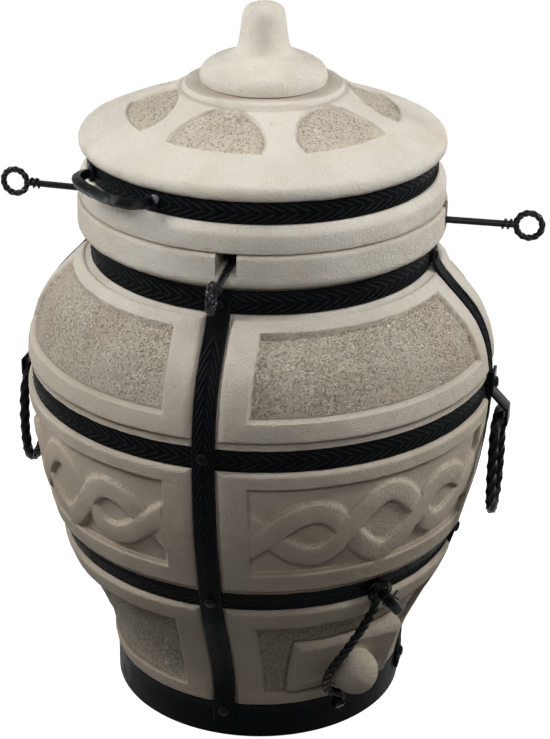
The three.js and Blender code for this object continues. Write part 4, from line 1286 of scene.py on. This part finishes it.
FLOOR_GLOW = 0.92
BOUNCE = (0.16, 0.16, 0.16)
BACKDROP = (0.8, 0.8, 0.8)
WORLD_LIGHT = 0.10
WHITE = (1.0, 1.0, 1.0)


def add_camera(azimuth, distance, height, yaw, pitch, roll, focal):
    """A camera with a focal length in heights of the frame."""
    data = bpy.data.cameras.new("camera")
    data.sensor_width = 36.0
    data.lens = focal * data.sensor_width
    camera = put_in("camera", data)
    camera.matrix_world = (turn_z(azimuth) @ Matrix.Translation((0, -distance, height))
                           @ turn_z(-yaw) @ Matrix.Rotation(math.radians(90 - pitch), 4, "X")
                           @ turn_z(roll))
    bpy.context.scene.camera = camera


def add_light(name, azimuth, distance, height, size, power, aim, spread=180):
    """A soft box aimed at a height on the oven's axis. spread narrows its beam, so that the foot
    gets less light."""
    data = bpy.data.lights.new(name, "AREA")
    data.spread = math.radians(spread)
    data.shape = "RECTANGLE"
    data.size, data.size_y = size
    data.energy = power
    light = put_in(name, data)
    light.location = out(azimuth) * distance + UP * height
    line = Vector((0, 0, aim)) - light.location
    light.rotation_euler = line.to_track_quat("-Z", "Y").to_euler()


def seen_rays(tree):
    """1 for the rays that show the pale backdrop: from the camera, off a gloss or through glass."""
    path = node(tree, "LightPath")
    seen = path["Is Camera Ray"]
    for kind in ("Is Transmission Ray", "Is Glossy Ray"):
        seen = node(tree, "Math", {0: seen, 1: path[kind]}, operation="MAXIMUM")[0]
    return seen


def add_floor():
    half = 6.0 / MM
    floor = mesh_object("floor", [(-half, -half, 0), (half, -half, 0), (half, half, 0),
                                  (-half, half, 0)], [(0, 1, 2, 3)])
    n = Surface("floor")
    seen = seen_rays(n.tree)
    glow = node(n.tree, "Emission", {"Color": WHITE, "Strength": n.times(seen, FLOOR_GLOW)})[0]
    floor.data.materials.append(n.finish({
        "Base Color": n.mix(seen, BOUNCE, BACKDROP),
        "Roughness": 0.95, "Specular IOR Level": 0.0}, glow))


def add_world():
    world = bpy.data.worlds.new("studio")
    bpy.context.scene.world = world
    world.use_nodes = True
    tree = world.node_tree
    tree.nodes.clear()
    light = node(tree, "Mix", {0: seen_rays(tree), 2: WORLD_LIGHT, 3: 1.0}, data_type="FLOAT")[0]
    background = node(tree, "Background", {"Color": WHITE, "Strength": light})[0]
    node(tree, "OutputWorld", {"Surface": background})


add_camera(azimuth=-32.0, distance=2.2518, height=1.44, yaw=0.43, pitch=24.55, roll=0.69,
           focal=2032.0 / 739.0)
add_world()
add_floor()
add_light("key", -32, 1.1, 1.38, (0.8, 0.5), 1.9, 0.9, 76)
add_light("overhead", 150, 0.3, 2.4, (1.2, 1.2), 1, 0.45)
add_light("left_side", -122, 1.6, 1.6, (0.7, 0.9), 4.6, 0.78, 66)
add_light("right_side", 60, 1.6, 1.6, (0.7, 0.9), 4.6, 0.78, 66)
bpy.context.scene.view_settings.view_transform = "Standard"

bpy.context.view_layer.update()
